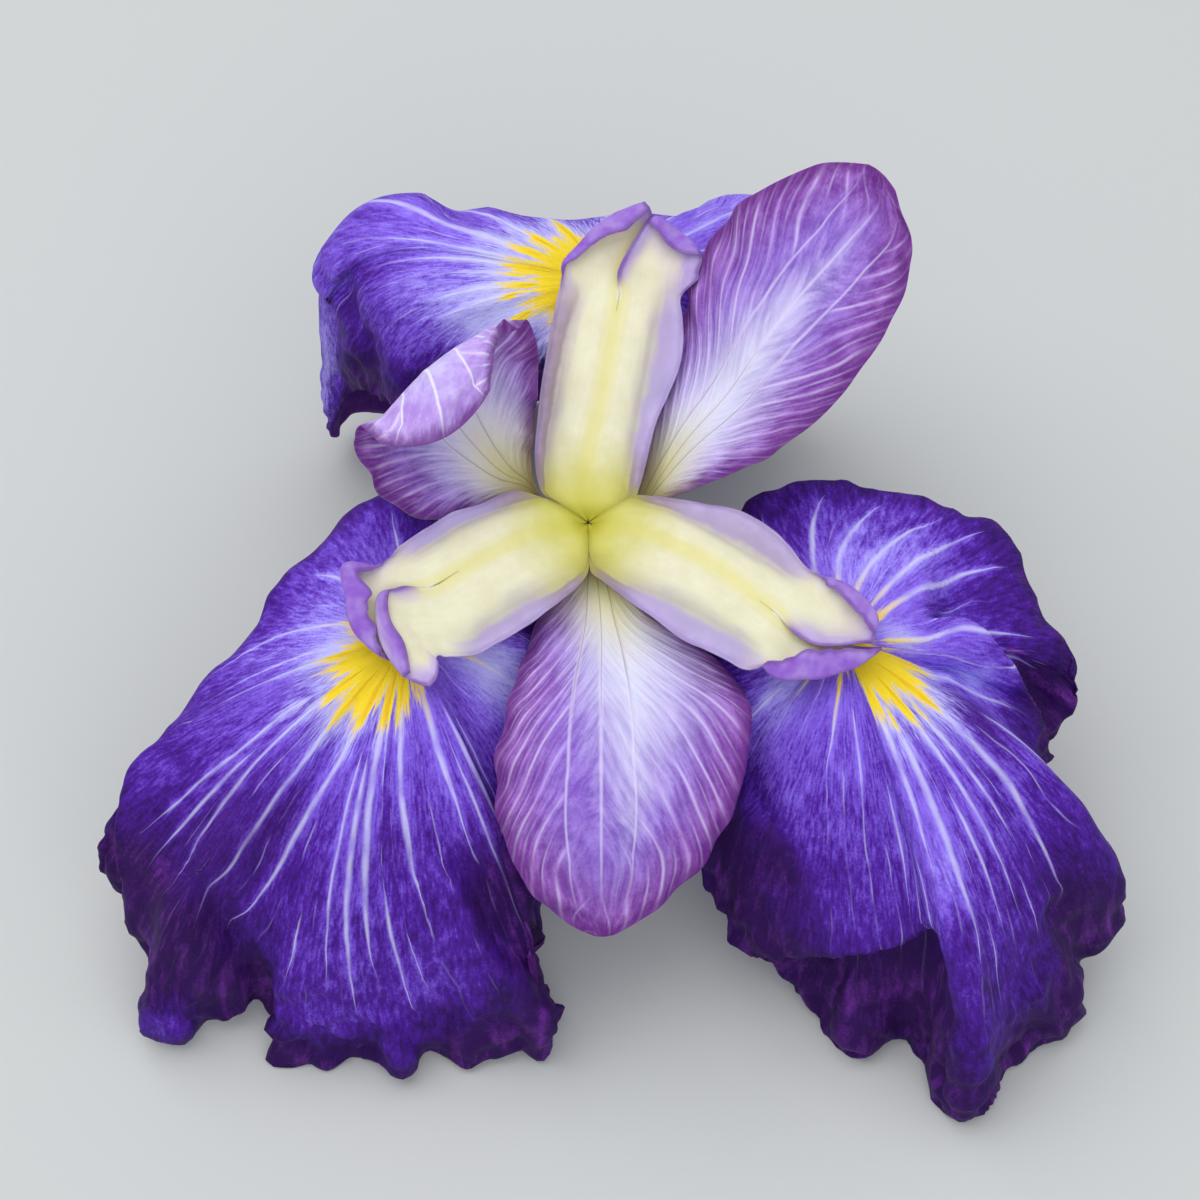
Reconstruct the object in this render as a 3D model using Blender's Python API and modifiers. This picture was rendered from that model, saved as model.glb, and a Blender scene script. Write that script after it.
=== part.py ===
"""A Japanese iris flower, picked with a short stem, resting face up on the tips of its falls.

Everything is set out from the heart of the flower, where its three style arms meet, in
millimetres. STAND then sets the flower on the ground, in metres.
"""
import math

import bmesh
import bpy
import numpy as np
from mathutils import Matrix, Vector

NAME = "japanese_iris_flower"
MM = 0.001
HEART_HEIGHT = 60.0  # heart of the flower above the ground
GROUND = -HEART_HEIGHT
STAND = np.array([-2.8, -0.3, HEART_HEIGHT])  # heart of the flower in the part's own frame
LEAN = math.radians(15.0)  # the flower's axis leans towards the front

# Sheets: as thin as a printed petal may be, a real one is about half of this
PETAL = 0.8
MARGIN_REST = 0.1  # the middle of a margin that reaches the ground lies this much above it

# Below the heart, down the leaning axis
SEAT_RADIUS = 5.2
SEAT_DEPTH = 17.5
STANDARD_SEAT = 17.7
SEAT_TURNS = (10, 0, -10)  # degrees from a standard's midrib to its margins at the seat
RIM_DEPTH = 18.2
RIM_OUTER, RIM_INNER = 5.7, 2.7
CUP_DEPTH = 24.0
TUBE_END = 31.7
OVARY_START, OVARY_END = 32.0, 47.0
STEM_START = 47.3
STEM_RADIUS = 2.4
COLUMN_TOP, COLUMN_RADIUS = 3.4, 1.9
SEAT_GAP = 0.3
WELD = 0.001
CLAW_HALF = 3.4
CLAW_ARCH = 0.45

# Margins of the blades: x, y, z, and how far the blade arches on its way there
# (0 straight, 1 a quarter circle, 3 out level and then straight down)
FALL_LEFT = {
    "heart": (-27, -18, -6), "seat": 210,
    "margin": [
        (-20, 5, -11, 0.5), (-31, 11, -11, 0.9), (-44, 0, -10, 0.7), (-54, -13, -15, 0.8),
        (-64, -25, -22, 0.8), (-71, -31, -29, 0.9), (-76, -38, -40, 0.9), (-69, -47, -48, 0.9),
        (-68, -57, -58, 0.9), (-61, -55, -58, 0.9), (-52, -53, -55, 0.8), (-46, -60, -60, 0.8),
        (-32, -62, -60, 0.7), (-19, -60, -58, 0.7), (-5, -57, -58, 0.8), (-9, -50, -47, 0.7),
        (-6, -39, -38, 0.4), (-5, -27, -30, 0.2), (-10, -17, -19, 0.2),
    ],
}
FALL_RIGHT = {
    "heart": (38, -19, -5), "seat": 330,
    "margin": [
        (20, -17, -19, 0.2), (16, -26, -30, 0.2), (17, -37, -38, 0.4), (24, -46, -50, 0.8),
        (38, -56, -60, 0.9), (48, -58, -60, 0.8), (57, -70, -60, 0.8), (70, -63, -60, 0.9),
        (75, -55, -57, 0.9), (81, -46, -50, 0.9), (80, -38, -40, 0.9), (70, -24, -38, 0.6),
        (73, -19, -33, 0.3), (77, -14, -26, 0.5), (71, -4, -18, 0.6), (62, 7, -10, 0.6),
        (52, 9, -8, 0.5), (33, 13, -8, 0.5), (23, 10, -11, 0.6),
    ],
}
FALL_REAR = {
    "heart": (3, 40, 7), "seat": 90,
    "margin": [
        (10, 29, -3, 0.4), (24, 40, -8, 1.5), (34, 50, -14, 2.0), (38, 60, -32, 2.8),
        (33, 67, -48, 3.0), (21, 67, -55, 3.0), (8, 70, -59, 3.0), (-8, 68, -60, 3.0),
        (-21, 69, -57, 3.0), (-33, 65, -59, 3.0), (-42, 62, -55, 3.0), (-45, 57, -55, 3.0),
        (-41, 52, -38, 3.0), (-37, 43, -24, 2.2), (-32, 36, -18, 1.6), (-22, 33, -15, 1.2),
        (-10, 31, -4, 0.7),
    ],
}

# Standards, from claw to tip, seen from the heart: left margin, midrib, right margin
STANDARD_FRONT = {"seat": 270, "rails": [
    ((4.6, -6, -11), (1.6, -6, -10), (-1.6, -6, -11)),
    ((11, -12.5, -9.5), (2, -14, -8.5), (-6, -13, -9.5)),
    ((20, -19, -10), (2, -23, -8), (-11, -23.5, -9.5)),
    ((24, -27, -11), (2, -33, -9.5), (-13.5, -35.5, -12)),
    ((22.5, -38, -15), (2, -41.5, -12.5), (-12.5, -45, -17)),
    ((18, -46, -20), (2, -48, -18), (-8, -51.5, -22)),
    ((9, -53.5, -25), (2, -53.5, -25), (-2.5, -55, -25.5)),
    ((4, -55.5, -27.5), (2, -55.8, -27.5), (0.5, -55.5, -27.5)),
]}
STANDARD_RIGHT = {"seat": 30, "rails": [
    ((8, 12.5, -9), (9.5, 9, -5), (11, 6.5, -5)),
    ((10, 20.5, -0.5), (15, 13, 3), (19, 5, 3)),
    ((13.5, 31, 6), (21, 17, 9), (27, 6, 8)),
    ((17, 38, 15), (26, 21, 16), (35, 10, 13)),
    ((22, 40, 24), (32, 25.5, 22.5), (40.5, 14, 19)),
    ((29, 40.5, 31), (38, 29, 29), (45, 19, 25)),
    ((36, 40, 35), (42.5, 32, 34.5), (47.5, 26, 32)),
    ((41.5, 37.5, 37.5), (44.5, 33.5, 37.5), (46.8, 30, 36.5)),
]}
STANDARD_LEFT = {"seat": 150, "rails": [
    ((-10, 9, -6), (-9, 10.5, -6), (-8.5, 12.5, -6)),
    ((-17, 4, -4), (-13, 11, -3), (-9, 16, -1)),
    ((-25, 1, -1), (-18, 13.5, 2), (-9, 20, 5)),
    ((-30.5, 2, 3), (-22, 16, 8), (-9, 23, 11)),
    ((-33.5, 4, 9), (-24.5, 16, 14.5), (-10, 23.5, 17)),
    ((-34.5, 5, 15), (-23.5, 13.5, 18.5), (-12.5, 21.5, 20.5)),
    ((-33, 3.5, 18), (-22, 8, 19), (-13.5, 17, 20.5)),
    ((-30, 1.5, 17), (-21, 3, 16.5), (-14.5, 11, 17.5)),
]}

# Style arms, about the flower's own axis: body is the half width of the thick part at its
# root, middle and end, flange the width of the thin sides at the middle and the end, lobe the
# crest's length past the end
ARMS = {
    "rear": {"heading": 87.5, "pitch": 6.5, "bend": 4.6, "length": 42, "lobe": 5, "curl": 2,
             "body": (5.0, 6.6, 4.8), "flange": (3.8, 3.0)},
    "left": {"heading": 211, "pitch": 8, "bend": 0, "length": 31, "lobe": 7, "curl": 3,
             "body": (5.0, 5.8, 5.0), "flange": (4.4, 5.4)},
    "right": {"heading": 332, "pitch": 7, "bend": 0, "length": 42, "lobe": 6, "curl": 2,
              "body": (5.0, 5.8, 4.8), "flange": (4.4, 3.2)},
}
ARM_START = 0.9
ARM_RIDGE = 1.9
ARM_BODY = 2.0  # thickness under the ridges
FILAMENT_SEAT, FILAMENT_RADIUS = 3.6, 0.5
ANTHER_START, ANTHER_END = 12.5, 25.5
ANTHER_WIDTH, ANTHER_DEPTH = 2.6, 1.2

# How finely each kind of piece is built
FALL_STEPS = (48, 8)
STANDARD_STEPS = (15, 7)
ARM_STEPS = (14, 11)


# ---------------------------------------------------------------- curves and frames

def lean(points):
    """Turns points about the flower's own axis to the leaning one."""
    points = np.asarray(points, float)
    x, y, z = points[..., 0], points[..., 1], points[..., 2]
    c, s = math.cos(LEAN), math.sin(LEAN)
    return np.stack([x, y * c - z * s, y * s + z * c], -1)


def polar(radius, heading, height):
    angle = math.radians(heading)
    return np.array([radius * math.cos(angle), radius * math.sin(angle), height])


def unit(vectors):
    return vectors / np.maximum(np.linalg.norm(vectors, axis=-1, keepdims=True), 1e-9)


def ease(start, end, at):
    t = np.clip((np.asarray(at, float) - start) / (end - start), 0, 1)
    return t * t * (3 - 2 * t)


def smooth_curve(points, at, closed=False):
    """Smooth curve through rows whose first three numbers are a place, read at shares 0 to 1."""
    points = np.asarray(points, float)
    if closed:
        points = np.vstack([points, points[:1]])
    gaps = np.linalg.norm(np.diff(points[:, :3], axis=0), axis=1) ** 0.7
    knots = np.concatenate([[0], np.cumsum(gaps)])
    steps = np.diff(points, axis=0) / gaps[:, None]
    slopes = np.zeros_like(points)
    before, after = gaps[:-1, None], gaps[1:, None]
    slopes[1:-1] = (steps[1:] * before + steps[:-1] * after) / (before + after)
    slopes[0], slopes[-1] = steps[0], steps[-1]
    if closed:
        slopes[0] = slopes[-1] = (steps[0] * gaps[-1] + steps[-1] * gaps[0]) / (gaps[0] + gaps[-1])
    at = np.asarray(at, float) * knots[-1]
    i = np.clip(np.searchsorted(knots, at, side="right") - 1, 0, len(knots) - 2)
    t, width = ((at - knots[i]) / gaps[i])[:, None], gaps[i][:, None]
    return (
        (1 + 2 * t) * (1 - t) ** 2 * points[i] + t * (1 - t) ** 2 * width * slopes[i]
        + t * t * (3 - 2 * t) * points[i + 1] - t * t * (1 - t) * width * slopes[i + 1]
    )


# ---------------------------------------------------------------- sheets

def claw_margin(fall):
    """Margin of the narrow claw, round its seat on the tube, from one shoulder to the other."""
    seat = lean(polar(SEAT_RADIUS, fall["seat"], -SEAT_DEPTH))
    run = np.array(fall["heart"], float) - seat
    side = lean(polar(1, fall["seat"] + 90, 0))
    stations = ((0.62, CLAW_HALF), (0.3, CLAW_HALF), (0.0, CLAW_HALF * 0.62))
    right = [seat + run * share - side * half for share, half in stations]
    left = [seat + run * share + side * half for share, half in reversed(stations)]
    return [tuple(point) + (CLAW_ARCH,) for point in right + left]


def arched_rays(fall, margin, out):
    """Points from the heart of the blade out to its margin, evenly spaced along each arching ray."""
    turn = np.linspace(0, math.pi / 2, 41)
    power = 2 / (1 + margin[:, 3:4])
    reach, drop = np.sin(turn) ** power, 1 - np.maximum(np.cos(turn), 0) ** power
    heart = np.array(fall["heart"], float)
    run = margin[:, :3] - heart
    fine = heart + np.stack([run[:, 0:1] * reach, run[:, 1:2] * reach, run[:, 2:3] * drop], -1)
    length = np.linalg.norm(np.diff(fine, axis=1), axis=2)
    along = np.concatenate([np.zeros((len(margin), 1)), np.cumsum(length, 1)], 1)
    steps = np.linspace(0, 1, out)
    grid = np.zeros((len(margin), out, 3))
    for i, row in enumerate(along):
        for k in range(3):
            grid[i, :, k] = np.interp(steps * row[-1], row, fine[i, :, k])
    return grid


def fall_sheet(fall, around, out):
    """Middle surface of a fall: a closed fan of rays from the heart of its blade."""
    margin = smooth_curve(fall["margin"] + claw_margin(fall), np.linspace(0, 1, around + 1), closed=True)
    margin[-1] = margin[0]
    grid = arched_rays(fall, margin, out)
    lowest = GROUND + MARGIN_REST
    grid[..., 2] = lowest + np.logaddexp(0, (grid[..., 2] - lowest) * 2) / 2
    return grid


def standard_sheet(standard, along, across):
    """Middle surface of a standard: smooth along its three rails, and one arc across them."""
    seat = [lean(polar(SEAT_RADIUS, standard["seat"] + turn, -STANDARD_SEAT)) for turn in SEAT_TURNS]
    rows = [seat] + standard["rails"]
    shares = np.linspace(0, 1, along)
    left, middle, right = (smooth_curve([row[k] for row in rows], shares)[:, None] for k in range(3))
    w = np.linspace(-1, 1, across)[None, :, None]
    return left * w * (w - 1) / 2 + middle * (1 - w * w) + right * w * (w + 1) / 2


def grid_mesh(name, grid):
    """A grid of faces bent into a sheet; a fan's seam and its centre are welded."""
    along, across = grid.shape[0] - 1, grid.shape[1] - 1
    shape = bmesh.new()
    bmesh.ops.create_grid(shape, x_segments=along, y_segments=across, size=1)
    for vert in shape.verts:
        i, j = round((vert.co.x + 1) / 2 * along), round((vert.co.y + 1) / 2 * across)
        vert.co = Vector(grid[i, j]) * MM
    bmesh.ops.remove_doubles(shape, verts=shape.verts, dist=WELD * MM)
    bmesh.ops.recalc_face_normals(shape, faces=shape.faces)
    if sum(face.normal.z for face in shape.faces) < 0:
        bmesh.ops.reverse_faces(shape, faces=shape.faces)
    mesh = bpy.data.meshes.new(name)
    shape.to_mesh(mesh)
    shape.free()
    mesh.shade_smooth()
    return mesh


def thicken(piece, thickness, offset):
    solid = piece.modifiers.new("Thickness", "SOLIDIFY")
    solid.thickness = thickness * MM
    solid.offset = offset
    return solid


# ---------------------------------------------------------------- style arms

def arm_place(arm, s, t, n):
    """Place at s out along a style arm, t to its left and n above its middle line."""
    heading, pitch = math.radians(arm["heading"]), math.radians(arm["pitch"])
    ahead = np.array([math.cos(heading) * math.cos(pitch), math.sin(heading) * math.cos(pitch), math.sin(pitch)])
    side = np.array([-math.sin(heading), math.cos(heading), 0.0])
    up = np.cross(ahead, side)
    s, t, n = np.broadcast_arrays(*(np.asarray(v, float)[..., None] for v in (s, t, n)))
    return lean(s * ahead + t * side + n * up)


def arm_sheet(arm, along, across):
    """Upper surface, two rounded ridges with a groove between and thin flanges, and its thickness."""
    u, v = np.linspace(0, 1, along)[:, None], np.linspace(-1, 1, across)[None, :]
    lobe = arm["lobe"] * np.sin(np.abs(v) ** 0.8 * math.pi)
    s = ARM_START + (arm["length"] + lobe - ARM_START) * u ** 1.3
    share = np.clip(s / arm["length"], 0, 1)
    root, middle, end = arm["body"]
    body = root + (middle - root) * ease(0.05, 0.5, share) + (end - middle) * ease(0.55, 1, share)
    wide, narrow = arm["flange"]
    flange = wide * ease(0.1, 0.42, share) + (narrow - wide) * ease(0.7, 1.1, s / arm["length"])
    half = np.minimum(body + flange, 1.5 * (s - 0.15))
    body = np.minimum(body, half)
    inward = np.abs(half * v) / body
    root_drop = 4.2 * (1 - np.sqrt(1 - ((3.6 - np.clip(s, 0, 3.6)) / 3.6) ** 2))
    ridge = np.sqrt(np.clip(1 - inward ** 2.2, 0, 1)) - 0.28 * np.exp(-(inward / 0.25) ** 2)
    ridge = ARM_RIDGE * np.where(inward < 1, ridge, 0) * (1 - 0.75 * ease(0.55, 1, share))
    top = ridge - ARM_RIDGE - root_drop + arm["curl"] * ease(0.88, 1.2, s / arm["length"])
    body_share = np.clip(1 - inward, 0, 1) * (1 - ease(0.7, 1, share))
    sideways = half * v - arm["bend"] * share ** 2
    return arm_place(arm, s, sideways, top), PETAL + (ARM_BODY - PETAL) * body_share


# ---------------------------------------------------------------- the flower

def material(name, colour, roughness):
    made = bpy.data.materials.new(name)
    made.use_nodes = True
    shader = made.node_tree.nodes["Principled BSDF"]
    shader.inputs["Base Color"].default_value = (*colour, 1)
    shader.inputs["Roughness"].default_value = roughness
    shader.inputs["Metallic"].default_value = 0
    made.diffuse_color = (*colour, 1)
    return made


def add_object(collection, name, data, surface, upright=False):
    """Links a piece; a turned one is drawn upright and leans with the flower."""
    data.materials.append(surface)
    piece = bpy.data.objects.new(name, data)
    piece.location = Vector(STAND) * MM
    piece.rotation_euler.x = LEAN if upright else 0
    collection.objects.link(piece)
    return piece


def add_falls(collection, surface):
    for name, fall in (("fall_left", FALL_LEFT), ("fall_right", FALL_RIGHT), ("fall_rear", FALL_REAR)):
        piece = add_object(collection, name, grid_mesh(name, fall_sheet(fall, *FALL_STEPS)), surface)
        thicken(piece, PETAL, 0)


def add_standards(collection, surface):
    for side, standard in (("front", STANDARD_FRONT), ("right", STANDARD_RIGHT), ("left", STANDARD_LEFT)):
        name = "standard_" + side
        piece = add_object(collection, name, grid_mesh(name, standard_sheet(standard, *STANDARD_STEPS)), surface)
        thicken(piece, PETAL, 0)


def add_arms(collection, surface):
    for name, arm in ARMS.items():
        sheet, thickness = arm_sheet(arm, *ARM_STEPS)
        mesh = grid_mesh("style_arm_" + name, sheet)
        piece = add_object(collection, "style_arm_" + name, mesh, surface)
        body = piece.vertex_groups.new(name="body")
        flat, weights = sheet.reshape(-1, 3) * MM, thickness.reshape(-1) / ARM_BODY
        for vert in mesh.vertices:
            nearest = np.argmin(np.linalg.norm(flat - np.array(vert.co), axis=1))
            body.add([vert.index], float(weights[nearest]), "REPLACE")
        thicken(piece, ARM_BODY, -1).vertex_group = "body"


def add_tube(collection, name, path, radius, surface, sides=2):
    """A round stalk along a path, with filled ends."""
    curve = bpy.data.curves.new(name, "CURVE")
    curve.dimensions = "3D"
    curve.bevel_depth = radius * MM
    curve.bevel_resolution = sides
    curve.use_fill_caps = True
    spline = curve.splines.new("POLY")
    spline.points.add(len(path) - 1)
    for point, place in zip(spline.points, path):
        point.co = (*(np.asarray(place) * MM), 1)
    return add_object(collection, name, curve, surface)


def add_stamens(collection, pale, pollen):
    """Under each style arm a filament from the tube's rim and the anther at its end."""
    for name, arm in ARMS.items():
        start = lean(polar(FILAMENT_SEAT, arm["heading"], -RIM_DEPTH + SEAT_GAP))
        bend = lean(polar(FILAMENT_SEAT + 0.1, arm["heading"], -13.0))
        run = [arm_place(arm, s, 0, n) for s, n in ((6.2, -8.8), (9.2, -6.2), (ANTHER_START - SEAT_GAP, -5.0))]
        path = smooth_curve([start, bend] + run, np.linspace(0, 1, 9))
        add_tube(collection, "filament_" + name, path, FILAMENT_RADIUS, pale)
        middle = arm_place(arm, (ANTHER_START + ANTHER_END) / 2, 0, -4.9)
        shape = bmesh.new()
        bmesh.ops.create_uvsphere(shape, u_segments=10, v_segments=8, radius=1)
        mesh = bpy.data.meshes.new("anther_" + name)
        shape.to_mesh(mesh)
        shape.free()
        mesh.shade_smooth()
        turn = Matrix.Rotation(LEAN, 4, "X") @ Matrix.Rotation(math.radians(arm["heading"]), 4, "Z")
        turn = turn @ Matrix.Rotation(-math.radians(arm["pitch"]), 4, "Y")
        size = np.array([ANTHER_END - ANTHER_START, ANTHER_WIDTH, ANTHER_DEPTH]) / 2
        mesh.transform(Matrix.Translation(Vector(middle) * MM) @ turn @ Matrix.Diagonal((*(size * MM), 1)))
        add_object(collection, "anther_" + name, mesh, pollen)


def add_turned(collection, name, profile, surface, steps):
    """A turned piece: its outline, top to bottom, swept about the flower's axis."""
    mesh = bpy.data.meshes.new(name)
    points = [(radius * MM, 0, -depth * MM) for radius, depth in profile]
    mesh.from_pydata(points, [(i, i + 1) for i in range(len(points) - 1)], [])
    piece = add_object(collection, name, mesh, surface, upright=True)
    turn = piece.modifiers.new("Turn", "SCREW")
    turn.axis = "Z"
    turn.steps = turn.render_steps = steps
    turn.use_merge_vertices = True
    turn.merge_threshold = 0.00001
    turn.use_normal_calculate = False
    return piece


def add_base(collection, cream, green):
    column = [(0, COLUMN_TOP), (COLUMN_RADIUS - 0.5, COLUMN_TOP), (COLUMN_RADIUS, COLUMN_TOP + 0.8)]
    column += [(COLUMN_RADIUS, CUP_DEPTH - SEAT_GAP), (0, CUP_DEPTH - SEAT_GAP)]
    add_turned(collection, "style_column", column, cream, 16)
    tube = [(0, CUP_DEPTH), (RIM_INNER, CUP_DEPTH), (RIM_INNER, RIM_DEPTH), (RIM_OUTER, RIM_DEPTH)]
    tube += [(4.6, 22.0), (3.7, 27.0), (3.4, TUBE_END), (0, TUBE_END)]
    add_turned(collection, "perianth_tube", tube, green, 20)
    ovary = [(0, OVARY_START), (3.3, OVARY_START), (3.6, 34), (4.1, 37), (4.2, 40.5), (3.6, 44.5)]
    ovary += [(2.6, OVARY_END), (0, OVARY_END)]
    add_turned(collection, "ovary", ovary, green, 18)
    top = lean(np.array([0, 0, -STEM_START]))
    bend = lean(np.array([0, 0, -STEM_START - 6.0]))
    foot = np.array([bend[0], bend[1] + 0.8, GROUND])
    path = smooth_curve([top, (top + bend) / 2, bend, foot + (0, 0, 3), foot], np.linspace(0, 1, 7))
    path[-2:, :2] = foot[:2]
    add_tube(collection, "stem", path, STEM_RADIUS, green, sides=3)


def main():
    for old in list(bpy.data.objects):
        bpy.data.objects.remove(old, do_unlink=True)
    collection = bpy.data.collections.new(NAME)
    bpy.context.scene.collection.children.link(collection)
    violet = material("fall_petal", (0.10, 0.02, 0.42), 0.55)
    lavender = material("standard_petal", (0.45, 0.24, 0.72), 0.55)
    cream = material("style_arm", (0.85, 0.80, 0.48), 0.5)
    pollen = material("anther", (0.80, 0.72, 0.50), 0.7)
    green = material("tube_and_stem", (0.22, 0.36, 0.10), 0.55)
    add_falls(collection, violet)
    add_standards(collection, lavender)
    add_arms(collection, cream)
    add_stamens(collection, cream, pollen)
    add_base(collection, cream, green)


main()
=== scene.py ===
"""A Japanese iris flower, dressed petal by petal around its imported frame.

Everything is set out in millimetres from the heart of the flower, where its three style arms
meet, and STAND sets the flower on the ground. Run it as a script, or read it as an add-on.
"""
import math

import bmesh
import bpy
import numpy as np
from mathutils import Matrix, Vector, noise


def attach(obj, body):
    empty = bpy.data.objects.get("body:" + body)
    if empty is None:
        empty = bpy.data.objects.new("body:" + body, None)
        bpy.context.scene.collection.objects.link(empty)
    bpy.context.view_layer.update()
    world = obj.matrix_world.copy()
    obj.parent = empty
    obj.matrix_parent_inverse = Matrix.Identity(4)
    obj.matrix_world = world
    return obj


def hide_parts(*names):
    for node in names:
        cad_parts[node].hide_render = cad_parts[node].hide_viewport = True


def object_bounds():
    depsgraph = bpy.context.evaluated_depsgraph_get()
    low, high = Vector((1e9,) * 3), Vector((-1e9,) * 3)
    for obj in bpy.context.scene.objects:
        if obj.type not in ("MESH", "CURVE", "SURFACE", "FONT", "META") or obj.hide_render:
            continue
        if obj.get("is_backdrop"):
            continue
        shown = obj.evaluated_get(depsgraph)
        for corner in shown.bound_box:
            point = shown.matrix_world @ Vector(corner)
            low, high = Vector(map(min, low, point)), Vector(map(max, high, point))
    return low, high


bl_info = {
    "name": "Japanese Iris Flower",
    "version": (1, 0, 0),
    "blender": (4, 5, 0),
    "location": "View3D > Sidebar > Iris",
    "description": "Builds the petals, style arms, stamens and stalk of a Japanese iris flower",
    "category": "Add Mesh",
}

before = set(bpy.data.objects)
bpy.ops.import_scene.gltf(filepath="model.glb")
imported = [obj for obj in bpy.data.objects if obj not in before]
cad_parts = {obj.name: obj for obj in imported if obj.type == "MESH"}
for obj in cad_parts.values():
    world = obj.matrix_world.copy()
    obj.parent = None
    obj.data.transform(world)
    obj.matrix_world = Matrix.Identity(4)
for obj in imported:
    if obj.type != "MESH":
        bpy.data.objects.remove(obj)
FRAME_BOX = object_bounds()

MM = 0.001
HEART_HEIGHT = 60.0
GROUND = -HEART_HEIGHT
STAND = np.array([-2.8, -0.3, HEART_HEIGHT])
LEAN = math.radians(15.0)
SEAT_RADIUS = 5.2
FALL_SEAT, STANDARD_SEAT = 17.5, 17.7
SEAT_TURNS = (10, 0, -10)
CLAW_HALF, CLAW_ARCH = 3.4, 0.45
MARGIN_REST = 0.35  # lowest middle line of a margin above the ground
WELD = 0.001

# Below the heart, down the leaning axis
RIM_DEPTH = 18.2
RIM_OUTER, RIM_INNER = 5.7, 2.7
CUP_DEPTH = 24.0
TUBE_END = 31.7
OVARY_START, OVARY_END = 32.0, 47.0
STEM_START, STEM_RADIUS = 47.3, 2.4
COLUMN_TOP, COLUMN_RADIUS = 3.4, 1.9
SEAT_GAP = 0.3

# Stamens: the last places of a filament are (out, up) along its arm
FILAMENT_SEAT, FILAMENT_BEND = 3.6, 13.0
ANTHER_START, ANTHER_END = 12.5, 25.5
ANTHER_WIDTH, ANTHER_DEPTH, ANTHER_DROP = 2.6, 1.2, 4.9
FILAMENT_RUN = ((6.2, -8.8), (9.2, -6.2), (ANTHER_START - SEAT_GAP, -5.0))

# Relief of the petals: heights of its waves, noise and pleats, and reach of scallops and nicks
SWELL, CRIMP, PLEAT, LUMP = 0.8, 0.4, 0.12, 0.9
WRINKLE, FINE_WRINKLE = 2.1, 0.45
SCALLOP, NICK = 0.3, 0.6
QUILT, MIDRIB_DEPTH = 0.07, 0.25
SHIFT = 17.3  # sets each noise apart from the next
VEIN_BOLDNESS = 1.2  # veins of the falls are drawn this many times as wide as their table gives

# Falls: place of the blade's heart, heading of the claw's seat, seed of the waves, and places on
# the margin as x, y, z and how far the blade arches on its way there
FALLS = {
    "left": {
        "heart": (-27, -18, -6), "seat": 210, "seed": 10,
        "margin": [
            (-20, 5, -11, 0.5), (-31, 11, -11, 0.9), (-44, 0, -10, 0.7), (-54, -13, -15, 0.8),
            (-64, -25, -22, 0.8), (-71, -31, -29, 0.9), (-76, -38, -40, 0.9), (-69, -47, -48, 0.9),
            (-68, -57, -58, 0.9), (-61, -55, -58, 0.9), (-52, -53, -55, 0.8), (-46, -60, -60, 0.8),
            (-32, -62, -60, 0.7), (-19, -60, -58, 0.7), (-4.8, -57.4, -58.5, 0.8), (-8, -49, -50, 0.7),
            (-5.5, -38.5, -38.5, 0.4), (1.5, -25.5, -28.5, 0.2), (0.5, -13.5, -17, 0.3),
        ],
    },
    "right": {
        "heart": (38, -19, -5), "seat": 330, "seed": 17,
        "margin": [
            (16, -14, -17, 0.3), (13, -25, -28, 0.2), (17, -36.5, -39, 0.4), (24.5, -44.5, -49, 0.8),
            (38, -56, -60, 0.9), (51, -60.5, -60, 0.8), (57.5, -69.5, -60, 0.8), (65, -63.5, -59.5, 0.9),
            (74.5, -55, -57, 0.9), (76, -48.5, -52.5, 0.9), (82, -43, -45.5, 0.9), (70, -24, -38, 0.6),
            (73, -19, -33, 0.3), (77, -14, -26, 0.5), (71, -4, -18, 0.6), (62, 7, -10, 0.6),
            (52, 9, -8, 0.5), (33, 13, -8, 0.5), (23, 10, -11, 0.6),
        ],
    },
    "rear": {
        "heart": (3, 40, 7), "seat": 90, "seed": 24,
        "margin": [
            (10, 29, -3, 0.4), (24, 40, -8, 1.5), (34, 50, -14, 2.0), (38, 60, -32, 2.8),
            (33, 67, -48, 3.0), (21, 67, -55, 3.0), (8, 70, -59, 3.0), (-8, 68, -60, 3.0),
            (-21, 69, -57, 3.0), (-33, 65, -59, 3.0), (-42, 62, -55, 3.0), (-45, 57, -55, 3.0),
            (-41, 52, -38, 3.0), (-37, 43, -24, 2.2), (-32, 36, -18, 1.6), (-22, 33, -15, 1.2),
            (-10, 31, -4, 0.7),
        ],
    },
}

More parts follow.
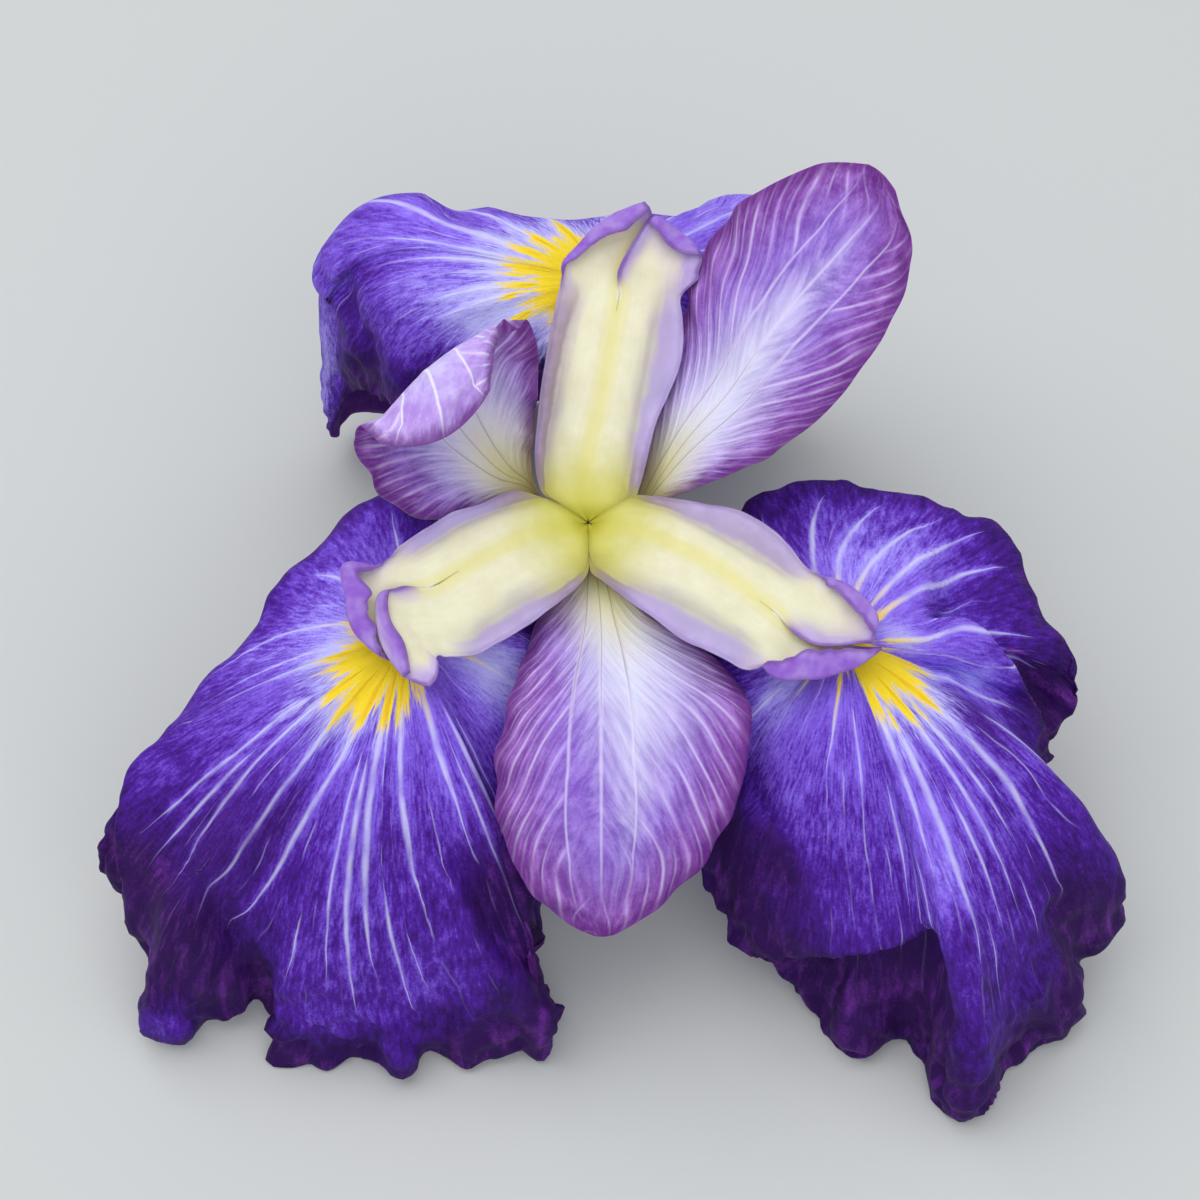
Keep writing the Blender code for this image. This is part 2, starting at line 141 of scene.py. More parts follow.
# Main veins of the falls, in order round the blade: share of the way round at the heart and at
# the margin, share of the way out where it starts and ends, half width in millimetres
FALL_VEINS = {
    "left": [
        (0.03, 0.04, 0.35, 0.9, 0.3), (0.072, 0.1, 0.3, 0.85, 0.35), (0.112, 0.16, 0.28, 1, 0.4),
        (0.15, 0.205, 0.4, 0.8, 0.25), (0.182, 0.262, 0.2, 0.84, 0.55), (0.288, 0.272, 0.28, 0.76, 0.35),
        (0.296, 0.288, 0.44, 0.8, 0.35), (0.304, 0.322, 0.16, 0.74, 0.6), (0.373, 0.334, 0.14, 0.73, 0.55),
        (0.421, 0.345, 0.12, 0.78, 0.65), (0.431, 0.426, 0.64, 0.8, 0.35), (0.439, 0.458, 0.28, 0.78, 0.25),
        (0.446, 0.472, 0.3, 0.86, 0.45), (0.454, 0.488, 0.1, 0.72, 0.8), (0.464, 0.504, 0.56, 0.88, 0.35),
        (0.47, 0.517, 0.66, 0.82, 0.3), (0.48, 0.532, 0.1, 0.62, 0.6), (0.528, 0.546, 0.12, 0.5, 0.55),
        (0.54, 0.562, 0.3, 0.74, 0.25), (0.556, 0.58, 0.22, 0.5, 0.6), (0.61, 0.618, 0.3, 0.6, 0.3),
        (0.715, 0.64, 0.26, 0.58, 0.6), (0.76, 0.7, 0.35, 0.8, 0.3),
    ],
    "right": [
        (0.058, 0.073, 0.4, 0.6, 0.55), (0.084, 0.15, 0.12, 0.3, 0.55), (0.168, 0.196, 0.12, 0.36, 0.5),
        (0.198, 0.214, 0.2, 0.4, 0.4), (0.228, 0.226, 0.34, 0.6, 0.35), (0.252, 0.24, 0.46, 0.68, 0.4),
        (0.27, 0.252, 0.14, 0.47, 0.65), (0.289, 0.262, 0.2, 0.66, 0.85), (0.298, 0.278, 0.62, 0.8, 0.3),
        (0.306, 0.29, 0.38, 0.66, 0.4), (0.317, 0.308, 0.14, 0.64, 0.45), (0.326, 0.318, 0.6, 0.73, 0.6),
        (0.334, 0.326, 0.22, 0.52, 0.5), (0.372, 0.334, 0.14, 0.76, 0.7), (0.402, 0.42, 0.4, 0.66, 0.8),
        (0.44, 0.48, 0.12, 0.68, 0.6), (0.496, 0.502, 0.58, 0.84, 0.45), (0.52, 0.512, 0.18, 0.88, 0.55),
        (0.543, 0.532, 0.4, 0.86, 0.55), (0.59, 0.568, 0.18, 0.92, 0.6), (0.622, 0.588, 0.28, 0.94, 0.6),
        (0.655, 0.606, 0.32, 0.94, 0.55), (0.676, 0.64, 0.34, 0.94, 0.55), (0.7, 0.665, 0.34, 0.94, 0.55),
        (0.73, 0.7, 0.36, 0.9, 0.45),
    ],
    "rear": [
        (0.06, 0.08, 0.25, 0.7, 0.4), (0.13, 0.14, 0.2, 0.75, 0.4), (0.2, 0.18, 0.12, 0.4, 0.6),
        (0.26, 0.23, 0.12, 0.45, 0.6), (0.32, 0.29, 0.14, 0.6, 0.5), (0.37, 0.35, 0.14, 0.65, 0.5),
        (0.42, 0.41, 0.16, 0.6, 0.5), (0.466, 0.47, 0.18, 0.52, 0.85), (0.5, 0.502, 0.2, 0.44, 0.7),
        (0.53, 0.53, 0.16, 0.36, 0.6), (0.558, 0.56, 0.18, 0.54, 0.85), (0.586, 0.588, 0.24, 0.44, 0.45),
        (0.616, 0.612, 0.26, 0.56, 0.75), (0.634, 0.632, 0.34, 0.6, 0.6), (0.68, 0.67, 0.4, 0.7, 0.35),
        (0.73, 0.72, 0.4, 0.8, 0.35),
    ],
}

# Yellow signal and pale halo of each fall: share round the blade in its middle, spread of that
# share, how far the yellow and the halo reach, and the length of the pale claw, in millimetres
SIGNALS = {
    "left": (0.31, 0.19, 8.5, 19.0, 12.0),
    "right": (0.36, 0.12, 8.0, 19.0, 11.0),
    "rear": (0.54, 0.27, 9.3, 22.0, 28.0),
}

# Folds of the falls: places along each as (share round, share out), height, width of its gentle
# side, width of its steep side, depth of the hollow past the steep side, and how far the crest
# hangs over it, in millimetres. The steep side lies to the left of the way along the fold
FOLDS = {
    "left": [
        ([(0.505, 0.42), (0.519, 0.6), (0.526, 0.7), (0.538, 0.8), (0.556, 0.97)], 1.8, 7, 1.6, 3.4, 1.4),
        ([(0.3, 0.97), (0.285, 0.88), (0.275, 0.79), (0.252, 0.7), (0.232, 0.6)], 1.2, 5, 1.4, 2.6, 1.2),
        ([(0.305, 0.6), (0.369, 0.66), (0.396, 0.84), (0.417, 0.97)], -2.4, 4, 3, 0, 0),
        ([(0.34, 0.84), (0.35, 0.94), (0.362, 0.99)], 1.4, 3, 2, 0.6, 0.6),
        ([(0.47, 0.8), (0.487, 0.98)], 1.6, 3, 2, 1, 0.5),
        ([(0.446, 0.82), (0.45, 0.97)], -1.4, 3, 2.5, 0, 0),
        ([(0.575, 0.7), (0.59, 0.96)], 1.2, 2.6, 2, 0.8, 0.4),
    ],
    "right": [
        ([(0.256, 0.52), (0.214, 0.61), (0.187, 0.65), (0.164, 0.74), (0.148, 0.85), (0.133, 0.98)], 1.8, 8,
         1.5, 4.5, 2.4),
        ([(0.545, 0.3), (0.527, 0.43), (0.508, 0.5), (0.49, 0.62), (0.474, 0.78), (0.47, 0.92)], 1.6, 9,
         1.6, 5.5, 2.2),
        ([(0.262, 0.98), (0.266, 0.83), (0.269, 0.7), (0.271, 0.6), (0.276, 0.46)], 2.2, 3.2, 1.7, 1, 0.6),
        ([(0.345, 0.66), (0.35, 0.8), (0.36, 0.97)], -2.4, 3.5, 3, 0, 0),
        ([(0.215, 0.76), (0.212, 0.96)], -1.8, 3, 3, 0, 0),
        ([(0.195, 0.96), (0.19, 0.78)], 1.6, 2.4, 1.4, 1.2, 0.6),
        ([(0.31, 0.74), (0.318, 0.97)], 1.6, 2.5, 2, 0.6, 0.4),
        ([(0.09, 0.62), (0.12, 0.6), (0.14, 0.56)], 1, 3, 1.4, 1.4, 0.6),
    ],
    "rear": [
        ([(0.5, 0.5), (0.52, 0.54), (0.555, 0.62), (0.59, 0.75), (0.631, 0.97)], -2, 2.6, 3.2, 0, 0),
        ([(0.225, 0.3), (0.215, 0.5)], 1.6, 6, 6, 0, 0),
        ([(0.42, 0.34), (0.452, 0.4), (0.474, 0.46), (0.496, 0.52), (0.51, 0.6)], 4.2, 7.5, 7.5, 0, 0),
        ([(0.24, 0.27), (0.29, 0.27), (0.34, 0.28), (0.4, 0.33)], -3, 9, 9, 0, 0),
    ],
}

# Patches where a fall is darker and more magenta, or paler below 0: share round, share out,
# spread of both, and amount. A dark patch is partly the fall's own pigment and partly painted
# shade in a hollow or under a fold; a pale one is partly paler tissue and partly painted light,
# on a face turned up to the sky or where a standard or a style arm shades the fall
PIGMENT_SHADE_AND_LIGHT_PATCHES = {
    "left": [
        (0.285, 0.92, 0.035, 0.16, 1.4), (0.31, 0.84, 0.03, 0.12, 1.1), (0.343, 0.96, 0.014, 0.07, -1),
        (0.395, 0.88, 0.03, 0.12, 0.8), (0.572, 0.72, 0.034, 0.26, 1.4), (0.53, 0.98, 0.05, 0.16, 0.8),
        (0.43, 1, 0.05, 0.12, 0.8), (0.325, 0.52, 0.05, 0.2, 0.5), (0.12, 0.65, 0.1, 0.6, -0.9),
        (0.705, 0.44, 0.055, 0.3, -1.35), (0.385, 0.46, 0.03, 0.12, 0.4), (0.455, 0.82, 0.06, 0.14, -0.6),
        (0.575, 0.33, 0.03, 0.1, 0.6), (0.17, 0.27, 0.06, 0.12, -1), (0.48, 0.42, 0.04, 0.1, 0.3),
        (0.352, 0.73, 0.025, 0.1, 1.1), (0.54, 0.57, 0.02, 0.1, 0.6), (0.5, 0.76, 0.02, 0.09, -0.5),
    ],
    "right": [
        (0.11, 0.78, 0.04, 0.2, 0.8), (0.18, 0.88, 0.05, 0.18, 1.1), (0.235, 0.8, 0.028, 0.2, 0.8),
        (0.485, 0.88, 0.028, 0.24, 0.9), (0.31, 0.98, 0.07, 0.14, 0.9), (0.355, 0.78, 0.025, 0.2, 0.7),
        (0.4, 0.95, 0.05, 0.12, 0.7), (0.06, 0.32, 0.06, 0.24, -1), (0.64, 0.66, 0.06, 0.5, -0.9),
        (0.275, 0.45, 0.022, 0.08, -0.7), (0.472, 0.46, 0.03, 0.14, -1.3), (0.425, 0.54, 0.016, 0.08, -0.8),
        (0.27, 0.76, 0.008, 0.24, -0.2), (0.395, 0.32, 0.03, 0.12, 0.5), (0.148, 0.58, 0.02, 0.07, 0.7),
        (0.53, 0.2, 0.06, 0.1, -0.9),
    ],
    "rear": [
        (0.6, 0.97, 0.04, 0.12, 0.8), (0.56, 0.66, 0.015, 0.24, 0.5), (0.52, 0.86, 0.04, 0.2, -1.3),
        (0.5, 0.62, 0.05, 0.18, -0.5), (0.62, 0.46, 0.07, 0.18, -1), (0.52, 0.32, 0.07, 0.1, -0.6),
        (0.21, 0.35, 0.06, 0.2, -0.8), (0.68, 0.4, 0.04, 0.3, -1.2), (0.628, 0.72, 0.03, 0.12, -0.4),
    ],
}

# How strongly the margin of each fall is ruffled, at shares of the way round
RUFFLES = {
    "left": [(0, 0.3), (0.20, 0.3), (0.27, 0.8), (0.44, 1.3), (0.58, 1.1), (0.66, 0.5), (1, 0.3)],
    "right": [
        (0, 0.4), (0.08, 0.8), (0.16, 1.4), (0.30, 1.1), (0.37, 0.6), (0.56, 0.5), (0.75, 0.4), (1, 0.4),
    ],
    "rear": [(0, 0.5), (0.25, 0.5), (0.45, 0.5), (0.62, 0.8), (1, 0.5)],
}

# Standards: heading of the seat, seed of the waves, place of the palest line across from -1 to 1,
# how much further out the pale foot reaches as a share of the length, which on the left standard
# is painted light on its shaded inner face, and places on the left margin, the midrib and the
# right margin in rows out to the tip
STANDARDS = {
    "front": {"seat": 270, "seed": 40, "palest": -0.26, "painted_light_lift": -0.03, "rails": [
        ((4.2, -4.8, -8.8), (1.2, -4.2, -7.6), (-2.6, -4.6, -8.8)),
        ((11, -12.5, -9.5), (2, -14, -8.5), (-7.6, -12.2, -9.6)),
        ((20, -19, -10), (2, -23, -8), (-11, -23.5, -9.5)),
        ((24, -27, -11), (2, -33, -9.5), (-13.5, -35.5, -12)),
        ((22.5, -38, -15), (2, -41.5, -12.5), (-12.5, -45, -17)),
        ((18, -46, -20), (2, -48, -18), (-8, -51.5, -22)),
        ((9, -53.5, -25), (2, -53.5, -25), (-2.5, -55, -25.5)),
        ((4, -55.5, -27.5), (2, -55.8, -27.5), (0.5, -55.5, -27.5)),
    ]},
    "right": {"seat": 30, "seed": 45, "palest": 0.0, "painted_light_lift": 0.0, "rails": [
        ((8, 12.5, -9), (9.5, 9, -5), (11, 6.5, -5)),
        ((10, 20.5, -0.5), (15, 13, 3), (19, 5, 3)),
        ((13.5, 31, 6), (21, 17, 9), (27, 6, 8)),
        ((17, 38, 15), (26, 21, 16), (35, 10, 13)),
        ((22, 40, 24), (32, 25.5, 22.5), (40.5, 14, 19)),
        ((29, 40.5, 31), (38, 29, 29), (45, 19, 25)),
        ((36, 40, 35), (42.5, 32, 34.5), (47.5, 26, 32)),
        ((41.2, 37.4, 37.6), (43.2, 34.8, 38.3), (44.8, 32, 37.9)),
    ]},
    # The left standard's lift of 0.13 is painted light on its shaded inner face
    "left": {"seat": 150, "seed": 50, "palest": 0.1, "painted_light_lift": 0.13, "rails": [
        ((-10, 9, -6), (-9, 10.5, -6), (-8.5, 12.5, -6)),
        ((-17, 4, -4), (-13, 11, -3), (-8.4, 16, -1)),
        ((-25, 1, -1), (-18, 13.5, 2), (-7.8, 20, 5)),
        ((-30.5, 2, 3), (-22, 16, 8), (-7.5, 23, 11)),
        ((-33.5, 4, 9), (-24.5, 16, 14.5), (-8.8, 23.5, 17)),
        ((-34.5, 5, 15), (-23.5, 13.5, 18.5), (-11.8, 21.5, 20.5)),
        ((-33, 3.5, 18), (-22, 8, 19), (-13.5, 17, 20.5)),
        ((-30, 1.5, 17), (-21, 3, 16.5), (-14.5, 11, 17.5)),
    ]},
}

# Style arms: how tan each flange is, heading and rise of the arm, and lines along it: out from the
# heart and aside from the middle, the groove's to the left. Between the groove and a shoulder
# lies a thick ridge, and between a shoulder and a margin a thin flange
ARMS = {
    "rear": {
        "tan": {"left": 0.9, "right": 0.15},
        "heading": 87.5, "pitch": 6.5,
        "groove": [(0, 0), (8, 0.7), (20, -1.2), (36, -3.2)],
        "left": {"shoulder": [(0, 5.6), (8.5, 6.8), (20, 5.6), (30, 4.1), (36, 2.6)],
                 "margin": [(0, 6), (9, 8.4), (18, 8.3), (30, 7.1), (36, 6.2)]},
        "right": {"shoulder": [(0, 5), (7, 5.6), (17, 6.7), (27, 8.2), (36, 9.6)],
                  "margin": [(0, 6), (9, 8.2), (16, 9.6), (26, 13.0), (31, 13.2), (36, 12.6)]},
    },
    "left": {
        "tan": {"left": 0.25, "right": 0.1},
        "heading": 211, "pitch": 8,
        "groove": [(0, 0), (6, -2.0), (14, -2.4), (26, -2.2)],
        "left": {"shoulder": [(0, 5), (8, 6.6), (17, 6.4), (25, 7.2)],
                 "margin": [(0, 6), (7.5, 8.2), (14, 9.4), (20, 10.1), (25, 9.8)]},
        "right": {"shoulder": [(0, 5), (7, 7.6), (15, 8.8), (25, 7.9)],
                  "margin": [(0, 6), (7.4, 10.2), (13, 10.8), (20, 11.5), (25, 10.3)]},
    },
    "right": {
        "tan": {"left": 0.4, "right": 0.15},
        "heading": 332, "pitch": 7,
        "groove": [(0, 0), (7, 1.9), (20, 1.8), (32, -0.8)],
        "left": {"shoulder": [(0, 5.4), (10, 7.2), (20, 6.6), (32, 5.4)],
                 "margin": [(0, 6), (9, 9.2), (18, 11.7), (25, 11.4), (32, 8.3)]},
        "right": {"shoulder": [(0, 5), (10, 5.9), (20, 5.6), (32, 6.8)],
                  "margin": [(0, 6), (11, 8.1), (18, 9.6), (24, 10.3), (32, 10.1)]},
    },
}
ARM_RIDGE, ARM_BODY = 1.9, 2.0
ARM_STATIONS = (0.12, 1.6, 2.6, 3.8, 6, 9, 13, 17, 21, 25, 29, 33, 37)
ARM_WEDGE = 1.76  # how fast an arm may widen from the heart between the other two
ROOT_REACH, ROOT_DROP = 3.6, 1.4
GROOVE_DIP = 0.24  # share of the ridge's height
FLANGE_WAVE, ARM_LUMP, ARM_TOOTH = 0.45, 0.7, 0.6
SHOULDER_SHARE = 0.62  # share of an arm's half, from groove to margin, that is ridge

# Crests: rows across each half of an arm past its ridges, from the cleft to the outer margin,
# as out, left, up and how violet it is
CRESTS = {
    "rear": {
        "left": [
            [(40, -3.4, -1.6, 0.1), (40.2, -0.5, -1.2, 0), (40.3, 3, -0.7, 0), (40.4, 5.3, 0.2, 0.8),
             (40.6, 4.2, 1, 1)],
            [(43, -4.4, -1.2, 0.2), (43.6, -2, -0.8, 0), (44, 0.2, -0.1, 0.2), (44.4, 1.9, 0.9, 0.9),
             (43.5, -0.9, 2, 1)],
            [(45, -6.2, -0.8, 0.3), (46.3, -4.5, -0.2, 0.2), (47, -3.2, 0.5, 0.5), (47.6, -1.9, 1.3, 1),
             (46, -4.8, 2.3, 1)],
            [(47.6, -7.8, 0.2, 1), (48.6, -7.6, 0.6, 1), (49.3, -7.2, 1, 1), (49.8, -6.6, 1.4, 1),
             (48.4, -7.2, 2, 1)],
        ],
        "right": [
            [(39.3, -2.9, 0.3, 1), (39.5, -6, -0.7, 0.1), (39.4, -9.5, -0.8, 0.2), (39, -12.8, -0.3, 0.6),
             (38.6, -15.3, 0.5, 1.5)],
            [(43, -4.6, 0.8, 1), (43.2, -7, -0.2, 0.35), (43, -9.5, -0.2, 0.35), (42.5, -12.2, 0.1, 0.5),
             (41.3, -15.4, 0.8, 1.6)],
            [(47, -6.9, 0.9, 1), (47.6, -8.5, 0.6, 0.8), (46.2, -11, 0.5, 0.8), (44.4, -13.2, 0.6, 0.9),
             (42.4, -15.2, 1, 1)],
            [(46.8, -7, 1.5, 1), (45.2, -8.6, 1.9, 1), (43.2, -10.2, 1.9, 1), (42, -12.6, 1.7, 1),
             (41.6, -15, 1.4, 1)],
        ],
    },
    "left": {
        "left": [
            [(30, -3.9, 0, 0.9), (30.2, 0, -0.9, 0), (30.4, 3, -1.2, 0), (30.4, 6, -1, 0),
             (30.6, 8, -0.6, 0.3)],
            [(32.6, -3.4, 0.8, 1), (33.6, -3.9, 0.5, 0.6), (33, 0.5, -0.6, 0), (32, 5.5, -0.6, 0.1),
             (31.4, 9.2, 0, 0.7)],
            [(34.4, 0.4, 1.2, 1), (36.3, 0.2, 0.4, 0.5), (34.5, 3, -0.2, 0), (33, 7.5, 0, 0.1),
             (32.4, 10.8, 0.8, 1)],
            [(34.5, 4.6, 1.3, 1), (37.2, 4, 0.4, 0.5), (35.3, 6.5, 0.2, 0.2), (34.2, 9.5, 0.4, 0.6),
             (33.4, 11.7, 1, 1)],
            [(36, 9, 1, 1), (36.9, 8.9, 0.6, 0.7), (36.3, 10, 0.6, 0.8), (35.4, 11.2, 0.7, 1),
             (34.5, 12, 1, 1)],
        ],
        "right": [
            [(30.5, -2.8, -1.8, 0), (30.8, -5, -1.4, 0.1), (31, -7, -1, 0.25), (31.4, -8.5, -0.3, 0.6),
             (31.5, -8.2, 0.2, 0.9)],
            [(33.5, -2.4, -1.6, 0.2), (34.5, -4.5, -1.2, 0.25), (35.5, -8, -0.4, 0.5), (36, -10.5, 0.6, 1),
             (35.2, -8, 1.8, 1)],
            [(35, -1, -1.4, 0.2), (36.5, -3, -1, 0.3), (37.6, -5, -0.4, 0.7), (38, -6.1, 0.4, 1),
             (35, -4.9, 1.4, 1)],
            [(36.5, 1.8, -1.2, 0.5), (38, 0, -0.9, 0.8), (39, -1, -0.4, 1), (39.5, -1.8, 0.2, 1),
             (36.6, -2.6, 0.8, 1)],
            [(37.2, 5.2, -1, 1), (37.6, 4.8, -0.8, 1), (38, 4.4, -0.6, 1), (38.3, 4, -0.3, 1),
             (37.6, 3.6, 0.1, 1)],
        ],
    },
    "right": {
        "left": [
            [(36.5, -3, 0.2, 0.9), (38, 1.5, -0.8, 0.15), (38.6, 5, -0.4, 0.25), (38.9, 7, 0.6, 0.8),
             (38.4, 5.2, 1.6, 1)],
            [(40.4, -3.2, 0.6, 0.9), (42, 0.8, -0.4, 0.35), (43, 4, 0.2, 0.45), (43.4, 5.9, 1, 0.9),
             (42.2, 3.9, 2, 1)],
            [(44.3, -1.2, 0.8, 1), (45, 0.5, 0.3, 0.6), (45.8, 2.5, 0.6, 0.7), (46, 4.2, 1.3, 1),
             (44.8, 2.6, 2, 1)],
            [(47.2, 0.7, 1, 1), (47.3, 0.9, 1, 1), (47.2, 1.3, 1.1, 1), (46.9, 1.8, 1.4, 1),
             (46.4, 1.9, 1.7, 1)],
        ],
        "right": [
            [(36.8, -1.5, -1.8, 0), (37, -5, -2, 0), (37.1, -8.2, -1.6, 0.2), (37.2, -9.6, -0.8, 0.9),
             (36.6, -6.9, 0.4, 1)],
            [(41.5, -1, -1.6, 0), (41.8, -3.5, -1.6, 0), (42, -6, -1.2, 0.4), (42.1, -7.4, -0.4, 1),
             (41, -3.9, 0.6, 1)],
            [(45.5, -0.2, -1, 0.7), (46, -1.2, -0.9, 0.9), (46.6, -2, -0.6, 1.1), (46.9, -2.8, -0.2, 1.2),
             (45.8, -1.2, 0.4, 1.2)],
            [(48.6, 0.9, -0.2, 1.7), (48.7, 0.7, -0.1, 1.7), (48.7, 0.5, 0, 1.7), (48.6, 0.4, 0.1, 1.7),
             (48.3, 0.6, 0.2, 1.7)],
        ],
    },
}

# How finely each sheet is drawn: steps along or round it, then across it
FALL_STEPS = (400, 110)
STANDARD_STEPS = (170, 90)
ARM_STEPS = (120, 44)
ANTHER_STEPS = (90, 48)
LANES = 60  # narrow lanes round a fall that its fine streaks follow
SIDE_VEINS = 15  # side veins on each half of a standard

# Outer ribs of a standard: how far from its midrib they run at shares of its length, then half
# widths of its left margin, left rib, midrib, right rib and right margin
OUTER_RIBS = ((0, 0.32), (0.25, 0.22), (0.6, 0.27), (0.8, 0.38), (0.92, 0.58), (1, 0.9))
RIB_HALVES = (0, 0.34, 0.42, 0.34, 0)

# Studio in metres: each light's share of the power, its size and its place
LIGHTS = {"Softbox": (1.0, 1.1, (-0.25, 0.10, 1.0)), "Fill": (0.5, 1.0, (0.3, -0.95, 0.9))}
SKY_COLOUR, SKY_STRENGTH = "#e6ebf0", 0.72
FLOOR_HALF = 4.0

# Camera: how steeply it looks down, how far off it stands, how far to the right of the heart and
# below it it aims, and the length of its lens and width of its sensor
VIEW_TILT, VIEW_AWAY = math.radians(56.0), 500.0
VIEW_ASIDE, VIEW_BELOW = 1.8, 12.0
LENS, SENSOR = 100.0, 36.0


# ---------------------------------------------------------------- curves and frames

def lean(points):
    """Turns points about the flower's own axis to the leaning one."""
    points = np.asarray(points, float)
    x, y, z = points[..., 0], points[..., 1], points[..., 2]
    c, s = math.cos(LEAN), math.sin(LEAN)
    return np.stack([x, y * c - z * s, y * s + z * c], -1)


def polar(radius, heading, height):
    """A point at a radius, a heading in degrees and a height."""
    angle = math.radians(heading)
    return np.array([radius * math.cos(angle), radius * math.sin(angle), height])


def unit(vectors):
    """Vectors of the same heading, one long."""
    return vectors / np.maximum(np.linalg.norm(vectors, axis=-1, keepdims=True), 1e-9)


def ease(start, end, at):
    """Eased step from 0 at start to 1 at end."""
    t = np.clip((np.asarray(at, float) - start) / (end - start), 0, 1)
    return t * t * (3 - 2 * t)


def smooth_curve(points, at, closed=False, gaps=None):
    """Smooth curve through rows whose first three numbers are a place, read at shares 0 to 1."""
    points = np.asarray(points, float)
    if closed:
        points = np.vstack([points, points[:1]])
    if gaps is None:
        gaps = np.maximum(np.linalg.norm(np.diff(points[:, :3], axis=0), axis=1), 1e-6) ** 0.7
    knots = np.concatenate([[0], np.cumsum(gaps)])
    steps = np.diff(points, axis=0) / gaps[:, None]
    slopes = np.zeros_like(points)
    before, after = gaps[:-1, None], gaps[1:, None]
    slopes[1:-1] = (steps[1:] * before + steps[:-1] * after) / (before + after)
    slopes[0], slopes[-1] = steps[0], steps[-1]
    if closed:
        slopes[0] = slopes[-1] = (steps[0] * gaps[-1] + steps[-1] * gaps[0]) / (gaps[0] + gaps[-1])
    at = np.asarray(at, float) * knots[-1]
    i = np.clip(np.searchsorted(knots, at, side="right") - 1, 0, len(knots) - 2)
    t, width = ((at - knots[i]) / gaps[i])[:, None], gaps[i][:, None]
    return (
        (1 + 2 * t) * (1 - t) ** 2 * points[i] + t * (1 - t) ** 2 * width * slopes[i]
        + t * t * (3 - 2 * t) * points[i + 1] - t * t * (1 - t) * width * slopes[i + 1]
    )


def waves(at, seed, fewest, most):
    """Seeded waves over 0 to 1 that meet at its ends, mostly between -1 and 1."""
    random = np.random.default_rng(seed)
    counts = np.arange(fewest, most + 1)
    heights, turns = random.normal(size=len(counts)), random.uniform(0, 2 * np.pi, len(counts))
    rises = heights * np.sin(2 * np.pi * np.asarray(at, float)[..., None] * counts + turns)
    return rises.sum(-1) / np.sqrt((heights ** 2).sum())


def sheet_normals(grid, closed=False):
    """Upward unit normals of a grid of points."""
    if closed:
        ring = grid[:-1]
        along = np.roll(ring, -1, 0) - np.roll(ring, 1, 0)
        along = np.concatenate([along, along[:1]])
    else:
        along = np.gradient(grid, axis=0)
    normals = unit(np.cross(along, np.gradient(grid, axis=1)))
    return normals if normals[..., 2].sum() > 0 else -normals


def lengths_across(grid):
    """Length of the way along each row of a grid, from its first point."""
    steps = np.linalg.norm(np.diff(grid, axis=1), axis=2)
    return np.concatenate([np.zeros((len(grid), 1)), np.cumsum(steps, 1)], 1)


def above_ground(grid):
    """Lifts what would pass through the ground, softly."""
    lowest = GROUND + MARGIN_REST
    grid[..., 2] = lowest + np.logaddexp(0, (grid[..., 2] - lowest) * 3) / 3
    return grid


# ---------------------------------------------------------------- falls

def claw_margin(fall):
    """Margin of the narrow claw, round its seat on the tube, from one shoulder to the other."""
    seat = lean(polar(SEAT_RADIUS, fall["seat"], -FALL_SEAT))
    run = np.array(fall["heart"], float) - seat
    side = lean(polar(1, fall["seat"] + 90, 0))
    stations = ((0.62, CLAW_HALF * 1.9), (0.3, CLAW_HALF * 1.3), (0.0, CLAW_HALF * 0.62))
    right = [seat + run * share - side * half for share, half in stations]
    left = [seat + run * share + side * half for share, half in reversed(stations)]
    return [tuple(point) + (CLAW_ARCH,) for point in right + left]


def arched_rays(fall, margin, out):
    """Points from the heart of the blade out to its margin, evenly spaced along each arching ray."""
    turn = np.linspace(0, math.pi / 2, 81)
    power = 2 / (1 + margin[:, 3:4])
    reach, drop = np.sin(turn) ** power, 1 - np.maximum(np.cos(turn), 0) ** power
    heart = np.array(fall["heart"], float)
    run = margin[:, :3] - heart
    fine = heart + np.stack([run[:, 0:1] * reach, run[:, 1:2] * reach, run[:, 2:3] * drop], -1)
    length = lengths_across(fine)
    steps = np.linspace(0, 1, out)
    grid = np.zeros((len(margin), out, 3))
    for i, row in enumerate(length):
        for k in range(3):
            grid[i, :, k] = np.interp(steps * row[-1], row, fine[i, :, k])
    return grid


def fall_grid(fall, around, out):
    """Middle surface of a fall: a closed fan of rays from the heart of its blade."""
    margin = smooth_curve(fall["margin"] + claw_margin(fall), np.linspace(0, 1, around + 1), closed=True)
    margin[-1] = margin[0]
    return arched_rays(fall, margin, out)


def crumple(grid, size, shift):
    """Noise at each point of a grid, in lumps of a size in millimetres; a shift makes it another."""
    places = grid.reshape(-1, 3) / size + shift
    return np.array([noise.noise(place) for place in places.tolist()]).reshape(grid.shape[:2])


def places_on(grid, shares):
    """Places at shares round and out on a grid."""
    shares = np.asarray(shares, float)
    rows = np.rint(shares[:, 0] * (len(grid) - 1)).astype(int)
    columns = np.rint(shares[:, 1] * (grid.shape[1] - 1)).astype(int)
    return grid[rows, columns]


def fold(grid, normals, path, height, gentle, steep, hollow, overhang):
    """A crest along a path: it rises gently from one side and hangs over a hollow on the other."""
    line = smooth_curve(places_on(grid, path), np.linspace(0, 1, 60))
    ways = unit(np.gradient(line, axis=0))
    flat = grid.reshape(-1, 3)
    nearest = np.argmin(((flat[:, None] - line[None]) ** 2).sum(-1), axis=1)
    gap = flat - line[nearest]
    away = np.linalg.norm(gap, axis=1)
    left = np.cross(normals.reshape(-1, 3), ways[nearest])
    is_steep = (gap * left).sum(1) > 0
    width = np.where(is_steep, steep, gentle)
    near = np.exp(-(away / width) ** 2)
    rise = height * near - hollow * is_steep * (1 - near) * np.exp(-(away / (1.5 * gentle)) ** 2)
    tapered = ease(0, 12, nearest) * ease(66, 46, nearest)
    moved = normals.reshape(-1, 3) * (rise * tapered)[:, None] + left * (overhang * near * tapered)[:, None]
    return moved.reshape(grid.shape)


